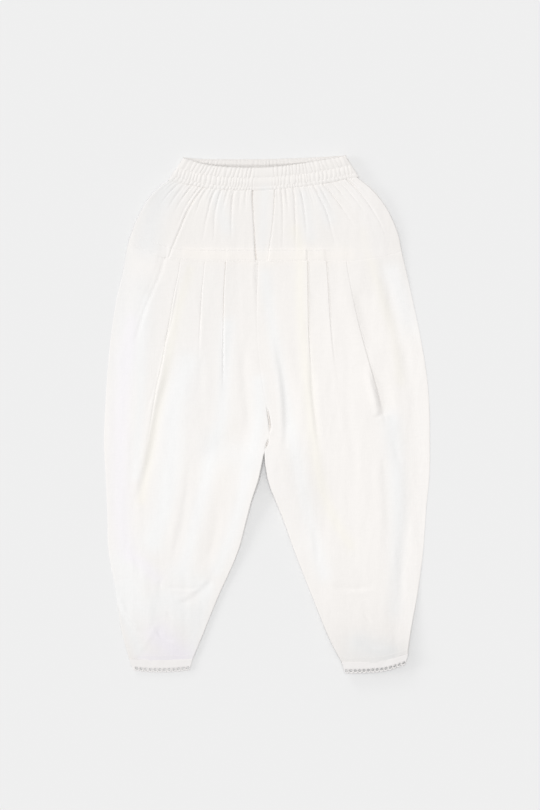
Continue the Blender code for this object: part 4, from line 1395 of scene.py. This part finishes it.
def stitches(name, lines, facing, material):
    """Topstitching along lines of points: each stitch is a short round thread with sunk ends."""
    along = np.array([-1.0, -0.8, -0.35, 0.35, 0.8, 1.0])
    thick = np.array([0.35, 0.85, 1.0, 1.0, 0.85, 0.35])
    rise = np.array([-1.0, -0.2, 0.25, 0.25, -0.2, -1.0])
    turn = np.linspace(0, 2 * np.pi, STITCH_SIDES, endpoint=False)
    forward = np.repeat(along * STITCH_LENGTH / 2, STITCH_SIDES)
    aside = np.outer(thick, np.cos(turn)).ravel() * THREAD_RADIUS
    up = (np.outer(thick, np.sin(turn)) + rise[:, None]).ravel() * THREAD_RADIUS
    rings = np.arange(len(along) * STITCH_SIDES).reshape(len(along), STITCH_SIDES)
    beside = np.roll(rings, -1, axis=1)
    sides = np.stack([rings[:-1], beside[:-1], beside[1:], rings[1:]], axis=-1).reshape(-1, 4)
    first, last = rings[0], rings[-1]
    caps = [first[[0, 3, 2, 1]], first[[0, 5, 4, 3]], last[[0, 1, 2, 3]], last[[0, 3, 4, 5]]]
    template = np.concatenate([sides, caps])
    if facing < 0:
        template = template[:, ::-1]
    places, directions = zip(*(even_places(line, STITCH_PITCH) for line in lines))
    places, directions = np.concatenate(places), np.concatenate(directions)
    upward = np.array([0, 0, float(facing)])
    sideways = np.cross(np.array([0, 0, 1.0]), directions)
    sideways /= np.linalg.norm(sideways, axis=1, keepdims=True)
    points = places[:, None] + forward[:, None] * directions[:, None] + aside[:, None] * sideways[:, None]
    points = points + up[:, None] * upward
    faces = (template[None] + rings.size * np.arange(len(places))[:, None, None]).reshape(-1, 4)
    return add_mesh(name, points.reshape(-1, 3), faces, material)


# The two layers that are sewn: their surfaces, how far the stitches sink where the seam band fades,
# and how far they are lifted off the surface below
Sewn = namedtuple("Sewn", "layer facing band yoke leg sinks lifted")
SEWN = [
    Sewn("front", 1, waistband_surface, yoke_front_surface, leg_front_surface, 0.3, 0.0),
    Sewn("back", -1, back_band_surface, yoke_back_surface, leg_back_surface, 0.0, 0.12),
]


def topstitching(sewn, material):
    """The rows of a layer: two through the band, two on the seam band, and one over each hem."""
    run = np.linspace(*STITCH_RUN, 700)
    lines = [sewn.band(run, np.full_like(run, down)) for down in SEWN_ROWS]
    _, _, band_edge, seam_edge, _ = yoke_place(run, run * 0 + 1)
    for above in SEAM_ROWS:
        line = sewn.yoke(run, 1 - above / (band_edge - seam_edge))
        line[:, 2] -= sewn.sinks * smooth_step(*SEAM_BAND_FADE, line[:, 0])
        lines.append(line)
    lines += [sewn.leg(side, run, run * 0 + HEM_STITCHES) for side in BOTH]
    lines = [line + np.array([0, 0, sewn.lifted]) for line in lines]
    return stitches(f"topstitching_{sewn.layer}", lines, sewn.facing, material)


# Studio
PHOTO_SIZE = (540, 810)
PHOTO_SCALE = 1.2
PHOTO_CENTRE = (3.72, 12.12)
CAMERA_HEIGHT = 4.0
SENSOR_WIDTH = 36.0
FLOOR_SIZE = 12.0
FLOOR_WHITE = 0.803
SKY_STRENGTH = 0.42
Light = namedtuple("Light", "name azimuth elevation strength spread")
LIGHTS = [
    Light("near_window", 174, 20, 0.58, 18),
    Light("far_window", 122, 20, 0.40, 18),
    Light("overhead_light", 120, 87, 1.735, 24),
]


def studio():
    """A pale floor, soft light from all round, a strong one from overhead and two low windows on
    the left of the picture."""
    half = FLOOR_SIZE / 2
    mesh = bpy.data.meshes.new("floor")
    corners = [(-half, -half, 0), (half, -half, 0), (half, half, 0), (-half, half, 0)]
    mesh.from_pydata(corners, [], [(0, 1, 2, 3)])
    floor = bpy.data.objects.new("floor", mesh)
    bpy.context.scene.collection.objects.link(floor)
    white = (FLOOR_WHITE, FLOOR_WHITE, FLOOR_WHITE, 1)
    paper = Nodes("floor_paper").finish(Base_Color=white, Roughness=1.0, Specular_IOR_Level=0.0)
    mesh.materials.append(paper)

    world = bpy.data.worlds.new("studio")
    world.use_nodes = True
    background = world.node_tree.nodes["Background"]
    background.inputs["Color"].default_value = (1, 1, 1, 1)
    background.inputs["Strength"].default_value = SKY_STRENGTH
    bpy.context.scene.world = world

    for light in LIGHTS:
        lamp = bpy.data.lights.new(light.name, "SUN")
        lamp.energy, lamp.angle = light.strength, np.radians(light.spread)
        holder = bpy.data.objects.new(light.name, lamp)
        holder.rotation_euler = (0, np.radians(90 - light.elevation), np.radians(light.azimuth))
        bpy.context.scene.collection.objects.link(holder)


def camera():
    """Straight down from far above, framed as the photograph."""
    data = bpy.data.cameras.new("camera")
    data.sensor_width = SENSOR_WIDTH
    data.lens = SENSOR_WIDTH * CAMERA_HEIGHT / (max(PHOTO_SIZE) * PHOTO_SCALE * MM)
    data.clip_start, data.clip_end = 0.1, 20.0
    viewer = bpy.data.objects.new("camera", data)
    viewer.location = (PHOTO_CENTRE[0] * MM, PHOTO_CENTRE[1] * MM, CAMERA_HEIGHT)
    bpy.context.scene.collection.objects.link(viewer)
    bpy.context.scene.camera = viewer
    bpy.context.scene.view_settings.view_transform = "Standard"


def garment():
    cotton = cotton_material("white_cotton")
    lace = thread_material("lace_cotton", (0.82, 0.80, 0.79), pitch=0.5, depth=0.05)
    thread = thread_material("sewing_thread", (0.85, 0.83, 0.81), pitch=0.25, depth=0.02)
    band = waistband_front(cotton)
    band_back = waistband_back(cotton)
    yoke = yoke_front(cotton)
    yoke_under = yoke_back(cotton)
    sewn, sewn_back = (topstitching(layer, thread) for layer in SEWN)
    for side in BOTH:
        front, back = leg_front(side, cotton), leg_back(side, cotton)
        front_lace, back_lace = (lace_strip(side, layer, lace) for layer in ("front", "back"))


garment()
studio()
camera()
